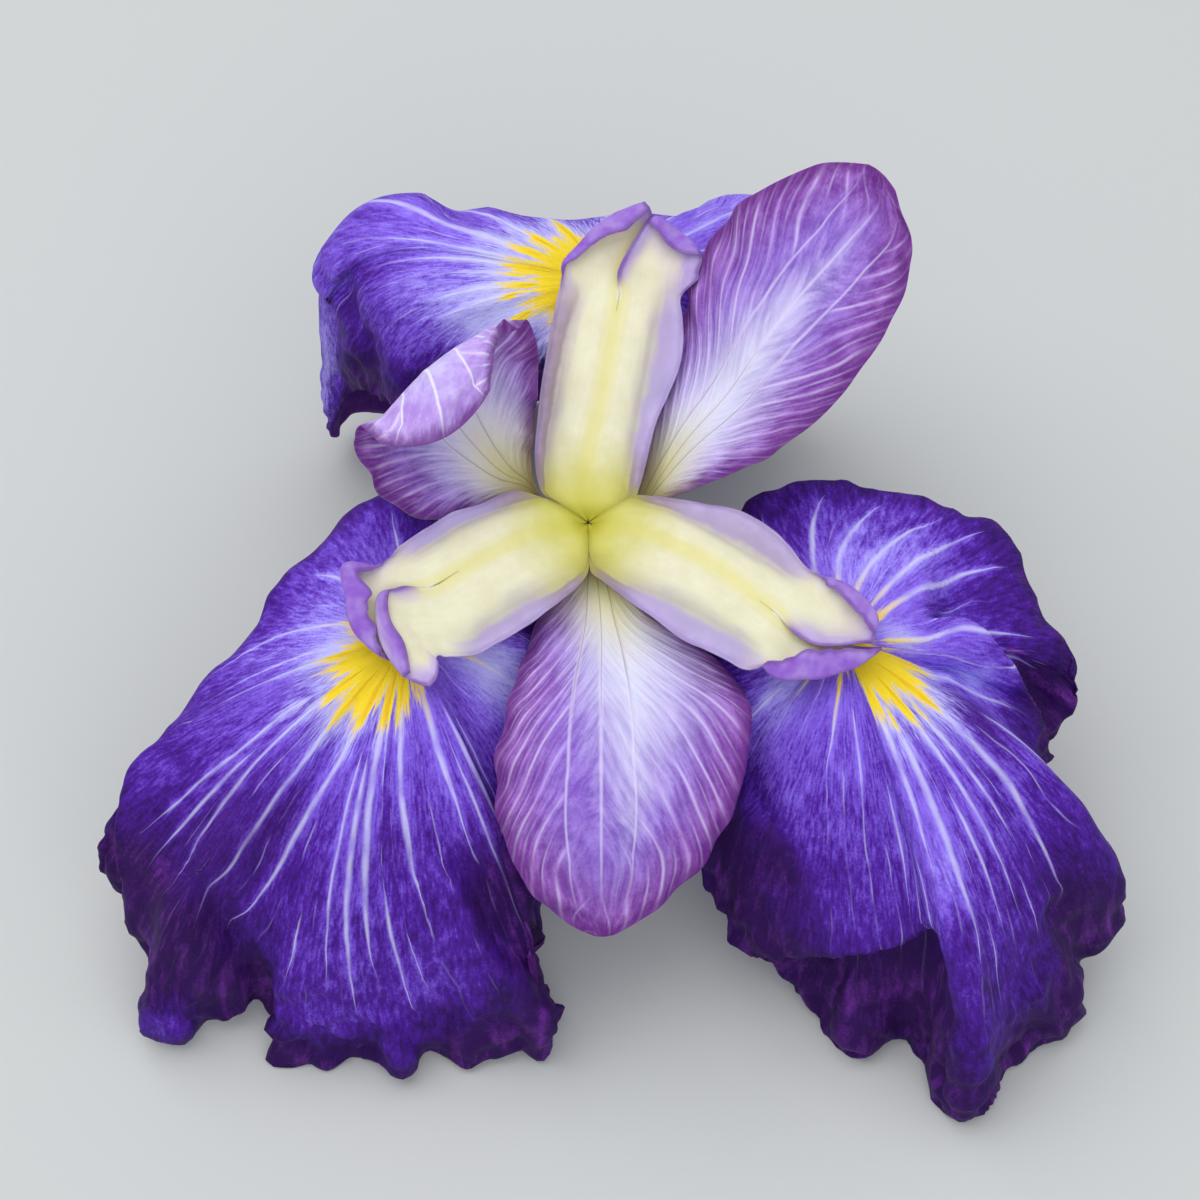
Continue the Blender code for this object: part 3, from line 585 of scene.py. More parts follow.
def ruffle_fall(name, grid, number, ruffle):
    """Gives a smooth fall its folds, soft swells, ruffled margin and the pleats between its veins."""
    u, share = np.linspace(0, 1, len(grid))[:, None], np.linspace(0, 1, grid.shape[1])[None, :]
    seed = FALLS[name]["seed"]
    normals = sheet_normals(grid, closed=True)
    folded = grid + sum(fold(grid, normals, *line) for line in FOLDS[name])
    normals = sheet_normals(folded, closed=True)
    strength = np.interp(u, *np.array(RUFFLES[name]).T)
    swell = SWELL * waves(u + 0.08 * share, seed, 5, 12) * ease(0.25, 0.7, share)
    frill = waves(u + 0.03 * share, seed + 1, 12, 34) * ease(0.6, 1.0, share) ** 1.5
    crimp = CRIMP * waves(u, seed + 2, 40, 75) * ease(0.8, 1.0, share)
    pleat = PLEAT * np.cos(2 * np.pi * number) * ease(0.08, 0.3, share)
    lumps = LUMP * crumple(grid, 9.0, SHIFT * seed) * ease(0.3, 0.8, share)
    wrinkles = WRINKLE * (0.25 - np.abs(crumple(grid, 5.0, SHIFT * (seed + 1))))
    wrinkles = wrinkles + FINE_WRINKLE * crumple(grid, 2.2, SHIFT * (seed + 2))
    wrinkles = wrinkles * ease(0.5, 0.95, share) ** 2 * strength
    rise = swell + ruffle * strength * (frill + crimp) + pleat + lumps + wrinkles
    folded = folded + normals * rise[..., None]
    outward = unit(np.gradient(folded, axis=1))
    scallop = SCALLOP * waves(u, seed + 3, 14, 40) + NICK * crumple(grid, 3.2, SHIFT * (seed + 4))
    scallop = scallop * strength * ease(0.8, 1.0, share)
    return above_ground(folded + outward * scallop[..., None])


def fall_veins(name, around, out):
    """Number of the vein across a fall, whole on each vein, and each vein's half width there."""
    u = np.linspace(0, 1, around + 1)
    number, half = np.zeros((around + 1, out)), np.zeros((around + 1, out))
    for j, share in enumerate(np.linspace(0, 1, out)):
        places, widths = [0.0], [0.0]
        for start, end, first, last, widest in FALL_VEINS[name]:
            shown = ease(first - 0.08, first + 0.04, share) * (1 - ease(last - 0.3, last, share))
            places.append(start + (end - start) * share ** 2)
            widths.append(VEIN_BOLDNESS * widest * shown)
        whole = np.arange(len(places) + 1)
        number[:, j] = np.interp(u, places + [1.0], whole)
        half[:, j] = np.interp(number[:, j], whole, widths + [0.0])
    return number, half


def fall_measures(name, grid, number, half):
    """Maps and measures that the colours of a fall are drawn from, in millimetres."""
    u = np.linspace(0, 1, len(grid))
    run = lengths_across(grid)
    around = np.linalg.norm(np.gradient(grid, axis=0), axis=2) / (u[1] - u[0])
    gap = around / np.maximum(np.gradient(number, axis=0) / (u[1] - u[0]), 1)
    middle, spread, gold_reach, halo_reach, claw = SIGNALS[name]
    swell = np.exp(-((u - middle) / spread) ** 4)[:, None]
    seat = lean(polar(SEAT_RADIUS, FALLS[name]["seat"], -FALL_SEAT))
    in_claw = claw - np.linalg.norm(grid - seat, axis=2)
    gold = gold_reach * swell - run
    halo = np.maximum(halo_reach * (0.1 + 0.9 * swell) - run, in_claw)
    rim = run[:, -1:] - run
    share = run / run[:, -1:]
    # The blush sums the patches: the fall's own darker pigment, painted shade and painted light
    blush = 0.0
    for middle_u, middle_v, round_spread, out_spread, amount in PIGMENT_SHADE_AND_LIGHT_PATCHES[name]:
        away = ((u[:, None] - middle_u) / round_spread) ** 2 + ((share - middle_v) / out_spread) ** 2
        blush = blush + amount * np.exp(-away)
    lanes = np.broadcast_to((u * LANES)[:, None], run.shape)
    return {
        "veins": np.stack([number, run], -1), "lanes": np.stack([lanes, share], -1),
        "sizes": np.stack([gap, half, blush], -1), "zones": np.stack([gold, halo, rim], -1),
    }


# ---------------------------------------------------------------- standards
# p is the share of the way from the seat to the tip, and w the place across, from -1 to 1

def standard_grid(standard, along, across):
    """Middle surface of a standard: smooth along its three rails, and one arc across them."""
    seat = [lean(polar(SEAT_RADIUS, standard["seat"] + turn, -STANDARD_SEAT)) for turn in SEAT_TURNS]
    rows = [seat] + standard["rails"]
    shares = np.linspace(0, 1, along)
    left, middle, right = (smooth_curve([row[k] for row in rows], shares)[:, None] for k in range(3))
    w = np.linspace(-1, 1, across)[None, :, None]
    return left * w * (w - 1) / 2 + middle * (1 - w * w) + right * w * (w + 1) / 2


def side_veins(along, across):
    """Number of the side vein at each point: they leave the midrib and sweep out to the margin."""
    leave = np.array([0, 0.05, 0.1, 0.18, 0.3, 0.45, 0.6, 0.75, 0.9, 1.0])
    reach = np.array([0, 0.24, 0.38, 0.53, 0.67, 0.79, 0.88, 0.94, 0.98, 1.0])
    p, w = np.linspace(0, 1, along), np.linspace(-1, 1, across)
    number = np.zeros((along, across))
    for j, side in enumerate(w):
        path = leave + (reach - leave) * abs(side) ** 0.85
        number[:, j] = SIDE_VEINS * np.interp(p, path, reach) + 0.5 * side
    return number


def standard_measures(standard, grid, number):
    """Maps and measures that the colours of a standard are drawn from, in millimetres."""
    along, across = grid.shape[:2]
    p, w = np.linspace(0, 1, along)[:, None], np.linspace(-1, 1, across)[None, :]
    by_row = np.linalg.norm(np.gradient(grid, axis=0), axis=2)
    by_column = np.linalg.norm(np.gradient(grid, axis=1), axis=2)
    slope = np.hypot(np.gradient(number, axis=0) / np.maximum(by_row, 1e-3),
                     np.gradient(number, axis=1) / np.maximum(by_column, 1e-3))
    side_gap = 1 / np.maximum(slope, 1e-3)
    run = np.cumsum(by_row, axis=0)
    run = run - run[:1]
    from_left = lengths_across(grid)
    rim = np.minimum(from_left, from_left[:, -1:] - from_left)
    rim = np.minimum(rim, 0.9 * (run[-1:] - run) + 0.2)
    outer = np.interp(p[:, 0], *np.array(OUTER_RIBS).T)
    ribs = np.array([np.interp(w[0], [-1, -0.9 * at, 0, at, 1], range(5)) for at in outer])
    rib_gap = by_column / np.maximum(np.gradient(ribs, axis=1), 1e-4)
    rib_half = np.interp(ribs, range(5), RIB_HALVES)
    # The lift moves a standard's pattern further out; on the left standard it is painted light, paling its
    # shaded inner face
    aside, out = np.broadcast_arrays(w - standard["palest"], p - standard["painted_light_lift"])
    return {
        "veins": np.stack([number, run], -1), "lanes": np.stack([ribs, aside], -1),
        "sizes": np.stack([side_gap, rib_gap, rib_half], -1), "zones": np.stack([run, rim, out], -1),
    }


def ruffle_standard(standard, grid, number, ruffle):
    """Gives a smooth standard its waved margin, its sunk midrib and a soft quilt between its veins."""
    p, w = np.linspace(0, 1, len(grid))[:, None], np.linspace(-1, 1, grid.shape[1])[None, :]
    edge = np.maximum(ease(0.45, 1, np.abs(w)), ease(0.8, 1, p))
    edge = edge * ease(0.15, 0.35, p) * ease(1.0, 0.84, p)
    frill = ruffle * waves(p * 0.8 + 0.1 * w, standard["seed"], 5, 14) * edge
    quilt = QUILT * np.cos(2 * np.pi * number) * ease(0.12, 0.5, np.abs(w)) * ease(0.15, 0.3, p)
    rib = -MIDRIB_DEPTH * np.exp(-(w / 0.05) ** 2) * (1 - ease(0.5, 0.9, p))
    return grid + sheet_normals(grid) * (frill + quilt + rib)[..., None]


# ---------------------------------------------------------------- style arms

def arm_place(arm, s, t, n):
    """Place at s out along a style arm, t to its left and n above its middle line."""
    pitch = math.radians(arm["pitch"])
    ahead = polar(math.cos(pitch), arm["heading"], math.sin(pitch))
    side = polar(1, arm["heading"] + 90, 0)
    up = np.cross(ahead, side)
    s, t, n = np.broadcast_arrays(*(np.asarray(v, float)[..., None] for v in (s, t, n)))
    return lean(s * ahead + t * side + n * up)


def line_at(line, s):
    """How far aside a line along an arm lies, s out from the heart."""
    flat = [(out, aside, 0.0) for out, aside in line]
    fine = smooth_curve(flat, np.linspace(0, 1, 60))
    return np.interp(s, fine[:, 0], fine[:, 1])


def ridge_row(arm, side, s, v):
    """One row across half an arm's thick part, from the groove out to the margin of its flange."""
    sign = 1 if side == "left" else -1
    wedge = ARM_WEDGE * (s - 0.05)
    groove = line_at(arm["groove"], s) * ease(0, 7, s)
    shoulder = min(line_at(arm[side]["shoulder"], s), wedge)
    margin = min(line_at(arm[side]["margin"], s), wedge)
    inward = np.clip(v / SHOULDER_SHARE, 0, 1)
    flange = np.clip((v - SHOULDER_SHARE) / (1 - SHOULDER_SHARE), 0, 1)
    t = groove + (sign * shoulder - groove) * inward + sign * (margin - shoulder) * flange
    root = ROOT_DROP * (1 - math.sqrt(1 - (1 - min(s / ROOT_REACH, 1)) ** 2))
    ridge = (1 - ease(1, 7, s) * inward ** 2.6) ** 0.85 - GROOVE_DIP * np.exp(-(inward / 0.3) ** 2)
    ridge = ARM_RIDGE * ridge * (1 - 0.6 * ease(0.6, 1.05, s / arm["groove"][-1][0]))
    wave = FLANGE_WAVE * flange ** 2 * ease(5, 12, s) * math.sin(0.62 * s + 2.1 * sign)
    n = ridge - ARM_RIDGE - root - 0.5 * flange * (1 - flange * 0.6) + wave
    violet = 0.42 * ease(0.7, 1.9, inward + flange) * ease(2, 8, s)
    return np.stack([np.full_like(v, s), t, n, violet, inward + flange], -1)


def crest_row(row, v):
    """One row across a crest, from its own few points."""
    inner = [tuple(point) + (2 * k / (len(row) - 1),) for k, point in enumerate(row)]
    return smooth_curve(inner, v)


def arm_half(name, side, along, across):
    """Half of a style arm, from the groove to its outer margin: its points and its measures."""
    arm = ARMS[name]
    v = np.linspace(0, 1, across)
    end = arm["groove"][-1][0]
    stations = [s for s in ARM_STATIONS if s <= end - 2] + [end]
    gaps = np.concatenate([np.diff(stations), [4.0], np.full(len(CRESTS[name][side]) - 1, 3.0)]) ** 0.8
    rows = [ridge_row(arm, side, s, v) for s in stations]
    rows = np.array(rows + [crest_row(row, v) for row in CRESTS[name][side]])
    shares = np.linspace(0, 1, along)
    local = np.stack([smooth_curve(rows[:, k], shares, gaps=gaps) for k in range(across)], 1)
    joined = local[:, 0, 0] < end - 1
    flange = ease(1.5, 2.0, local[..., 4]) * ease(6, 12, local[..., 0])
    crest = ease(end + 1, end + 8, local[..., 0]) * ease(0.0, 0.3, local[..., 4])
    local[..., 2] += ARM_LUMP * crumple(local[..., :3], 3.2, 9.1) * np.maximum(flange, crest)
    teeth = crumple(local[:, -1:, :3], 1.7, 4.3) * ease(end, end + 4, local[:, -1:, 0])
    teeth = ARM_TOOTH * teeth * ease(1.4, 2.0, local[..., 4])
    local[..., 0] += teeth
    local[..., 1] += teeth * (1 if side == "left" else -1)
    place = arm_place(arm, local[..., 0], local[..., 1], local[..., 2])
    return place, arm_measures(name, side, place, local, joined)


def arm_measures(name, side, place, local, joined):
    """Violet of the crests, distance from the groove and from the free margins, in millimetres."""
    from_groove = lengths_across(place)
    rim = from_groove[:, -1:] - from_groove
    cleft = np.where(joined, 99.0, 0.0)[:, None] + from_groove
    tip = np.linalg.norm(place - place[-1:], axis=2)
    rim = np.minimum(np.minimum(rim, cleft), tip + 0.05)
    s, inward = local[..., 0], local[..., 4]
    end = ARMS[name]["groove"][-1][0]
    body = np.clip(1 - inward, 0, 1) * (1 - ease(0.75, 1.0, s / end))
    violet = np.clip(local[..., 3], 0, 2)
    return {
        "lanes": np.stack([from_groove, s], -1),
        "zones": np.stack([violet, inward, rim], -1),
        "sizes": np.stack([np.full_like(s, ARMS[name]["tan"][side]), body, s / end], -1),
    }


# ---------------------------------------------------------------- meshes

def sheets_mesh(name, sheets):
    """One mesh of several grids of points, each with its maps and measures; touching edges are welded."""
    places, faces, values = [], [], {}
    count = 0
    for grid, measures in sheets:
        index = count + np.arange(grid.shape[0] * grid.shape[1]).reshape(grid.shape[:2])
        count += index.size
        places.append(grid.reshape(-1, 3))
        corners = [index[:-1, :-1], index[1:, :-1], index[1:, 1:], index[:-1, 1:]]
        faces.append(np.stack(corners, -1).reshape(-1, 4))
        for label, value in measures.items():
            values.setdefault(label, []).append(value.reshape(-1, value.shape[-1]))
    places = (np.concatenate(places) + STAND) * MM
    mesh = bpy.data.meshes.new(name)
    mesh.from_pydata(places.tolist(), [], np.concatenate(faces).tolist())
    corner = np.empty(len(mesh.loops), np.int32)
    mesh.loops.foreach_get("vertex_index", corner)
    for label, parts in values.items():
        value = np.concatenate(parts).astype(np.float32)
        if value.shape[1] == 2:
            mesh.uv_layers.new(name=label).data.foreach_set("uv", value[corner].ravel())
        else:
            mesh.attributes.new(label, "FLOAT_VECTOR", "POINT").data.foreach_set("vector", value.ravel())
    shape = bmesh.new()
    shape.from_mesh(mesh)
    bmesh.ops.remove_doubles(shape, verts=shape.verts, dist=WELD * MM)
    bmesh.ops.recalc_face_normals(shape, faces=shape.faces)
    if sum(face.normal.z * face.calc_area() for face in shape.faces) < 0:
        bmesh.ops.reverse_faces(shape, faces=shape.faces)
    shape.to_mesh(mesh)
    shape.free()
    mesh.shade_smooth()
    return mesh


def add_piece(name, sheets, surfaces, node_name):
    """Makes a piece of its sheets, rides it on the flower and puts it in place of its CAD node."""
    piece = bpy.data.objects.new(name, sheets_mesh(name, sheets))
    for surface in surfaces:
        piece.data.materials.append(surface)
    bpy.context.scene.collection.objects.link(piece)
    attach(piece, "root")
    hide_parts(node_name)
    return piece


def thicken(piece, thickness, offset, shares):
    """Gives a sheet its thickness, thinned point by point by shares, and its second surface below."""
    group = piece.vertex_groups.new(name="thickness")
    for index, share in enumerate(shares):
        group.add([index], float(share), "REPLACE")
    solid = piece.modifiers.new("Thickness", "SOLIDIFY")
    solid.thickness = thickness
    solid.offset = offset
    solid.vertex_group = "thickness"
    solid.material_offset = 1
    solid.material_offset_rim = 0


def measure_of(piece, label, part):
    """One of the three numbers that a piece's points carry under a label."""
    values = np.empty(len(piece.data.vertices) * 3, np.float32)
    piece.data.attributes[label].data.foreach_get("vector", values)
    return values.reshape(-1, 3)[:, part]


# ---------------------------------------------------------------- surfaces

def colour(text):
    """Linear colour of an sRGB hex one."""
    shares = [int(text[i:i + 2], 16) / 255 for i in (1, 3, 5)]
    return [c / 12.92 if c <= 0.04045 else ((c + 0.055) / 1.055) ** 2.4 for c in shares] + [1]


def node(tree, kind, *values, out=0, **named):
    """Adds a node: values fill its inputs in order, capitalised names are inputs, others settings."""
    made = tree.nodes.new("ShaderNode" + kind)
    inputs = list(enumerate(values))
    for key, value in named.items():
        if key[0].islower():
            setattr(made, key, value)
        else:
            inputs.append((key.replace("_", " "), value))
    for key, value in inputs:
        if isinstance(value, bpy.types.NodeSocket):
            tree.links.new(value, made.inputs[key])
        else:
            made.inputs[key].default_value = colour(value) if isinstance(value, str) else value
    return made.outputs[out] if made.outputs else None


def carried(tree, label):
    """The numbers that a mesh carries under a label: two on its maps, three on its points."""
    if label in ("veins", "lanes"):
        vector = node(tree, "UVMap", uv_map=label)
    else:
        vector = node(tree, "Attribute", out="Vector", attribute_name=label)
    return [node(tree, "SeparateXYZ", vector, out=k) for k in range(3)]


def product(tree, *terms):
    """Product of terms. A tuple is an eased step of a value: where it starts and ends, low and high."""
    result = None
    for term in terms:
        if isinstance(term, tuple):
            levels = (0.0, 1.0)[len(term) - 3:]
            term = node(tree, "MapRange", *term, *levels, interpolation_type="SMOOTHSTEP")
        result = term if result is None else node(tree, "Math", result, term, operation="MULTIPLY")
    return result


def total(tree, *terms, plus=0.0):
    """Sum of values, each times its own weight, and a number."""
    for value, weight in terms:
        plus = node(tree, "Math", product(tree, value), weight, plus, operation="MULTIPLY_ADD")
    return plus


def paint(tree, base, *layers):
    """Lays colours over a base in turn, each as strongly as the product of its terms says."""
    for shade, *terms in layers:
        base = node(tree, "MixRGB", product(tree, *terms), base, shade)
    return base


def stretched_noise(tree, across, along, fineness, length, detail):
    """Noise in streaks: so many to a unit across, each about so many millimetres long."""
    place = node(tree, "CombineXYZ", product(tree, across, fineness), product(tree, along, 1 / length))
    return node(tree, "TexNoise", place, Scale=1.0, Detail=detail, Roughness=0.6)


def spot_noise(tree, size, detail=2.0):
    """Noise over the flower itself, in spots of a size in millimetres."""
    place = node(tree, "TexCoord", out="Object")
    return node(tree, "TexNoise", place, Scale=1 / (size * MM), Detail=detail, Roughness=0.6)


def line_in(tree, number, gap, half, sharp=0.35):
    """A line on each whole number: 1 in its middle, falling softly to 0 at its half width in mm."""
    near = node(tree, "Math", number, 0.5, operation="PINGPONG")
    ends = total(tree, (half, 1), plus=0.03), total(tree, (half, sharp))
    return product(tree, (product(tree, near, gap), *ends), (half, 0.01, 0.1))


def petal_shader(tree, base, height, bump, roughness, depth=0.22, shine=0.26):
    """Thin living tissue: light goes a little way in, and fine hairs soften its edges."""
    normal = node(tree, "Bump", Height=height, Distance=bump * MM, Strength=1.0)
    shader = node(
        tree, "BsdfPrincipled", Base_Color=base, Normal=normal, Roughness=roughness, IOR=1.42,
        Subsurface_Weight=depth, Subsurface_Radius=(1.0, 0.5, 0.9), Subsurface_Scale=0.7 * MM,
        Sheen_Weight=0.02, Sheen_Roughness=0.4, Specular_IOR_Level=shine,
    )
    node(tree, "OutputMaterial", shader)


def new_surface(name):
    """An empty material and its nodes."""
    made = bpy.data.materials.new(name)
    made.use_nodes = True
    made.node_tree.nodes.clear()
    return made, made.node_tree


def fall_surface(name, look):
    """Velvet of a fall: dark streaks, paler flecks, white veins, a pale halo and a yellow signal."""
    made, tree = new_surface(name)
    number, run, _ = carried(tree, "veins")
    lane, share, _ = carried(tree, "lanes")
    gap, half, blush = carried(tree, "sizes")
    gold, halo, rim = carried(tree, "zones")
    # Pigment lies in short streaks half a millimetre wide along the veins, over clouds of 7 mm
    streaks = stretched_noise(tree, lane, run, 7.0, 2.6, 4.0)
    broad = stretched_noise(tree, lane, run, 1.6, 9.0, 2.0)
    flecks, clouds = spot_noise(tree, 0.45, 3.0), spot_noise(tree, 7.0, 1.0)
    # A main vein wanders by a twentieth of the gap between veins, and fades in and out
    wander = stretched_noise(tree, number, run, 0.7, 12.0, 1.0)
    number = total(tree, (number, 1), ((wander, 0.2, 0.8, -0.05, 0.05), 1))
    fading = stretched_noise(tree, number, run, 1.0, 6.0, 1.0)
    vein = product(tree, line_in(tree, number, gap, half, 0.05), (fading, 0.3, 0.6, 0.5, 1.0))
    glow = line_in(tree, number, gap, total(tree, (half, 3.5), plus=0.4), 0.05)
    glow = product(tree, glow, (half, 0.02, 0.2))
    # Between two main veins runs a finer one, seen here and there where they lie apart
    between = total(tree, (number, 2.0), ((wander, 0.2, 0.8, 0.9, 1.1), 1))
    seen = stretched_noise(tree, number, run, 2.1, 9.0, 1.0)
    thin = line_in(tree, between, product(tree, gap, 0.5), 0.16)
    thin = product(tree, thin, (seen, 0.44, 0.62), (gap, 2.6, 5.0), (gap, 14.0, 9.0))
    fading = product(tree, (blush, 0.9, 0.1, 0.2, 1.0), (rim, 0.0, 7.0, 0.3, 1.0))
    vein = product(tree, vein, fading)
    thin = product(tree, thin, fading, (share, 0.9, 0.5))
    # A blush below 0 lifts the tone towards the pale flecks, painted light; a high blush lowers it, the
    # fall's darker pigment and painted shade
    tone = total(tree, (flecks, 0.45), (streaks, 1.1), (broad, 0.45), (clouds, 0.35), (glow, 0.22),
                 (share, -0.72), (blush, -0.38))
    edge = total(tree, (rim, 1), (blush, -4.0), (streaks, 5.0))
    # The dark margin lies in fine creases along the veins; paler magenta on their crests is a
    # painted highlight
    creases = stretched_noise(tree, lane, run, 2.6, 7.0, 3.0)
    crests = product(tree, (total(tree, (creases, 1), (flecks, 0.3)), 0.6, 1.0))
    dark = paint(tree, look["blush"], (look["bloom"], crests))
    dark_rim = paint(tree, look["rim"], (look["bloom"], crests))
    magenta = total(tree, (blush, 1), (streaks, 0.5))
    light = total(tree, (blush, 0.5), (tone, -1.0))
    pale = total(tree, (halo, 1), (streaks, 22.0), (glow, 5.0))
    # The signal runs out in tongues along the veins, and the veins round it start yellow
    bright = total(tree, (gold, 1), (broad, 14.0), (streaks, 5.0), (glow, 4.0))
    amber = total(tree, (bright, 1), (vein, 3.0), (streaks, 3.0))
    base = paint(
        tree, look["deep"], (look["blade"], (tone, 0.26, 1.04)),
        (look["fleck"], (tone, 0.71, 1.4, 0, look["fleck_share"])),
        (dark_rim, (edge, 9.5, 2.0, 0, look["rim_share"])),
        # Dark magenta where the blush is high, pigment and painted shade; where it is far below 0, the halo's
        # pale colour as painted light
        (dark, (magenta, 0.35, 1.1, 0, 0.75)),
        (look["halo"], (light, -1.35, -2.35, 0, 0.8)),
        (look["halo"], (pale, 9.5, 22.0, 0, look["halo_share"])),
        (look["vein"], thin, 0.35),
        (look["vein"], vein, 0.66),
        (look["gold"], (bright, 4.5, 8.0, 0, look["gold_share"])),
        (look["gold"], vein, (run, 15.0, 7.0, 0, look["gold_share"]), 0.85),
        (look["amber"], vein, (amber, 10.0, 15.0, 0, 0.6)),
    )
    crinkle = product(tree, creases, (edge, 16.0, 4.0, 0, 2.2))
    height = total(tree, (streaks, 0.8), (vein, 0.5), (flecks, 0.6), (crinkle, 1))
    petal_shader(tree, base, height, 0.22, 0.62, 0.15, 0.18)
    return made


def standard_surface(name, look):
    """Thinner petal: white veins that leave three long ribs, lavender between, a dark margin."""
    made, tree = new_surface(name)
    number, run, _ = carried(tree, "veins")
    rib, across, _ = carried(tree, "lanes")
    gap, rib_gap, rib_half = carried(tree, "sizes")
    _, rim, share = carried(tree, "zones")
    aside = node(tree, "Math", across, operation="ABSOLUTE")
    clouds, flecks, wander = spot_noise(tree, 5.0), spot_noise(tree, 0.5, 3.0), spot_noise(tree, 12.0, 0.0)
    number = total(tree, (number, 1), ((wander, 0.2, 0.8, -0.2, 0.2), 1))
    streaks = stretched_noise(tree, number, aside, 4.6, 0.18, 4.0)
    # Side veins 0.5 mm wide leave the outer ribs, or near the tip the midrib, and fork once
    outside = node(tree, "Math", total(tree, (rib, 1), plus=-2.0), operation="ABSOLUTE")
    outside = product(tree, (outside, 0.9, 1.15))
    tip = product(tree, (share, 0.80, 0.88, 0, 0.7))
    outside = node(tree, "Math", outside, tip, operation="MAXIMUM")
    side = line_in(tree, number, gap, 0.34, 0.05)
    fork = line_in(tree, total(tree, (number, 2.0), plus=1.0), product(tree, gap, 0.5), 0.24, 0.05)
    fork = product(tree, fork, (total(tree, (rim, 1), (clouds, 9.0)), 14.0, 6.0, 0, 0.75))
    side = node(tree, "Math", side, fork, operation="MAXIMUM")
    fading = stretched_noise(tree, number, aside, 1.3, 0.3, 1.0)
    side = product(tree, side, (fading, 0.3, 0.62, 0.3, 1.0), outside, (share, 0.12, 0.4, 0.2, 1.0))
    long = line_in(tree, rib, rib_gap, product(tree, rib_half, (share, 0.3, 0.95, 1.6, 0.7)), 0.1)
    long = product(tree, long, (share, 0.98, 0.8))
    vein = node(tree, "Math", side, long, operation="MAXIMUM")
    soft = product(tree, line_in(tree, number, gap, 1.1, 0.0), outside)
    green = line_in(tree, rib, rib_gap, 0.13, 0.2)
    green = product(tree, green, (share, look["green_end"], look["green_end"] - 0.16))
    tone = total(tree, (flecks, 0.35), (streaks, 1.0), (clouds, 0.5), (soft, 0.15))
    edge = total(tree, (rim, 1), (streaks, 8.0), (clouds, 4.0), ((share, 0.5, 0.2, 0, 5.0), 1))
    blush = paint(tree, look["blush"], (look["blush_light"], (tone, 0.7, 1.35)))
    pale = total(tree, (aside, -0.62), (share, -0.92), (streaks, 0.34))
    line = total(tree, (rim, 1), (streaks, 3.0))
    foot = total(tree, (run, 1), (aside, 9.0))
    base = paint(
        tree, look["deep"], (look["blade"], (tone, 0.65, 1.3)),
        (blush, (edge, 18.5, 6.5, 0, look["blush_share"])),
        (look["pale"], (pale, -0.74, -0.18, 0, look["pale_share"])),
        (look["vein"], vein, look["vein_share"]),
        (look["rim"], (line, 4.6, 1.9, 0, look["rim_share"])),
        (look["foot"], (foot, 33.0, 13.0, 0, 0.85)),
        (look["green"], green, 0.5),
    )
    height = total(tree, (streaks, 0.7), (vein, 0.5), (flecks, 0.35))
    petal_shader(tree, base, height, 0.2, 0.52, 0.5)
    return made


def arm_surface(name, look):
    """Waxy cream of a style arm, going lavender over its thin flanges and violet on its crests."""
    made, tree = new_surface(name)
    from_groove, out, _ = carried(tree, "lanes")
    violet, inward, rim = carried(tree, "zones")
    tan, _, end = carried(tree, "sizes")
    fibres = stretched_noise(tree, from_groove, out, 1.5, 9.0, 3.0)
    clouds, flecks = spot_noise(tree, 3.5), spot_noise(tree, 0.35)
    tone = total(tree, (fibres, 0.25), (clouds, 0.6))
    groove = total(tree, (from_groove, 1), (fibres, 0.9))
    near = total(tree, (out, 1), (clouds, 4.0))
    flank = total(tree, (out, 1), (clouds, 3.0))
    line = total(tree, (rim, 1), (clouds, 0.4))
    # From the shoulder out the tissue thins, lavender and then paler at the margin; the greyish band
    # where the ridge turns down into the shoulder is painted shade
    aside = total(tree, (inward, 1), (clouds, 0.3), (fibres, 0.2), plus=-0.25)
    thin = product(tree, (end, 1.12, 0.88))
    flange = paint(
        tree, look["flange"], (look["fringe"], (aside, 1.45, 1.95, 0, 0.75)),
        (look["tan"], tan), (look["root"], (out, 14.0, 7.0, 0, 0.85)),
    )
    tint = total(tree, (violet, 1), (clouds, 0.35), (fibres, 0.3), plus=-0.325)
    dark = total(tree, (rim, 1), (clouds, 0.8), (fibres, 1.6))
    dark = product(tree, (dark, 2.6, 1.2, 0, 0.55))
    dark = node(tree, "Math", dark, product(tree, (violet, 1.0, 1.9)), operation="MAXIMUM")
    crest = paint(
        tree, look["violet"], (look["edge"], dark), (look["light"], (clouds, 0.3, 0.75, 0, 0.22)),
        (look["edge"], (line, 1.1, 0.5, 0, 0.6)),
    )
    base = paint(
        tree, look["shade"], (look["cream"], (tone, 0.2, 0.7)),
        (look["groove"], (groove, 3.0, 0.5, 0, 0.6)),
        # painted shade: greyish where the ridge turns down into its shoulder
        (look["turn"], thin, (aside, 0.66, 1.05, 0, 0.9)),
        (look["heart"], (near, 17.0, 4.0, 0, 0.92)),
        (flange, thin, (aside, 0.98, 1.3)),
        (look["light"], (line, 0.7, 0.35, 0, 0.45), (violet, 0.6, 0.2), (out, 9.0, 14.0)),
        (crest, (tint, 0.05, 0.85)),
        (look["flank"], (flank, 8.5, 4.5, 0, 0.9), (inward, 0.5, 1.15)),
        (look["crevice"], (out, 3.6, 1.0, 0, 0.85)),
    )
    height = total(tree, (flecks, 0.25), (fibres, 0.4))
    petal_shader(tree, base, height, 0.12, 0.42, 0.35)
    return made


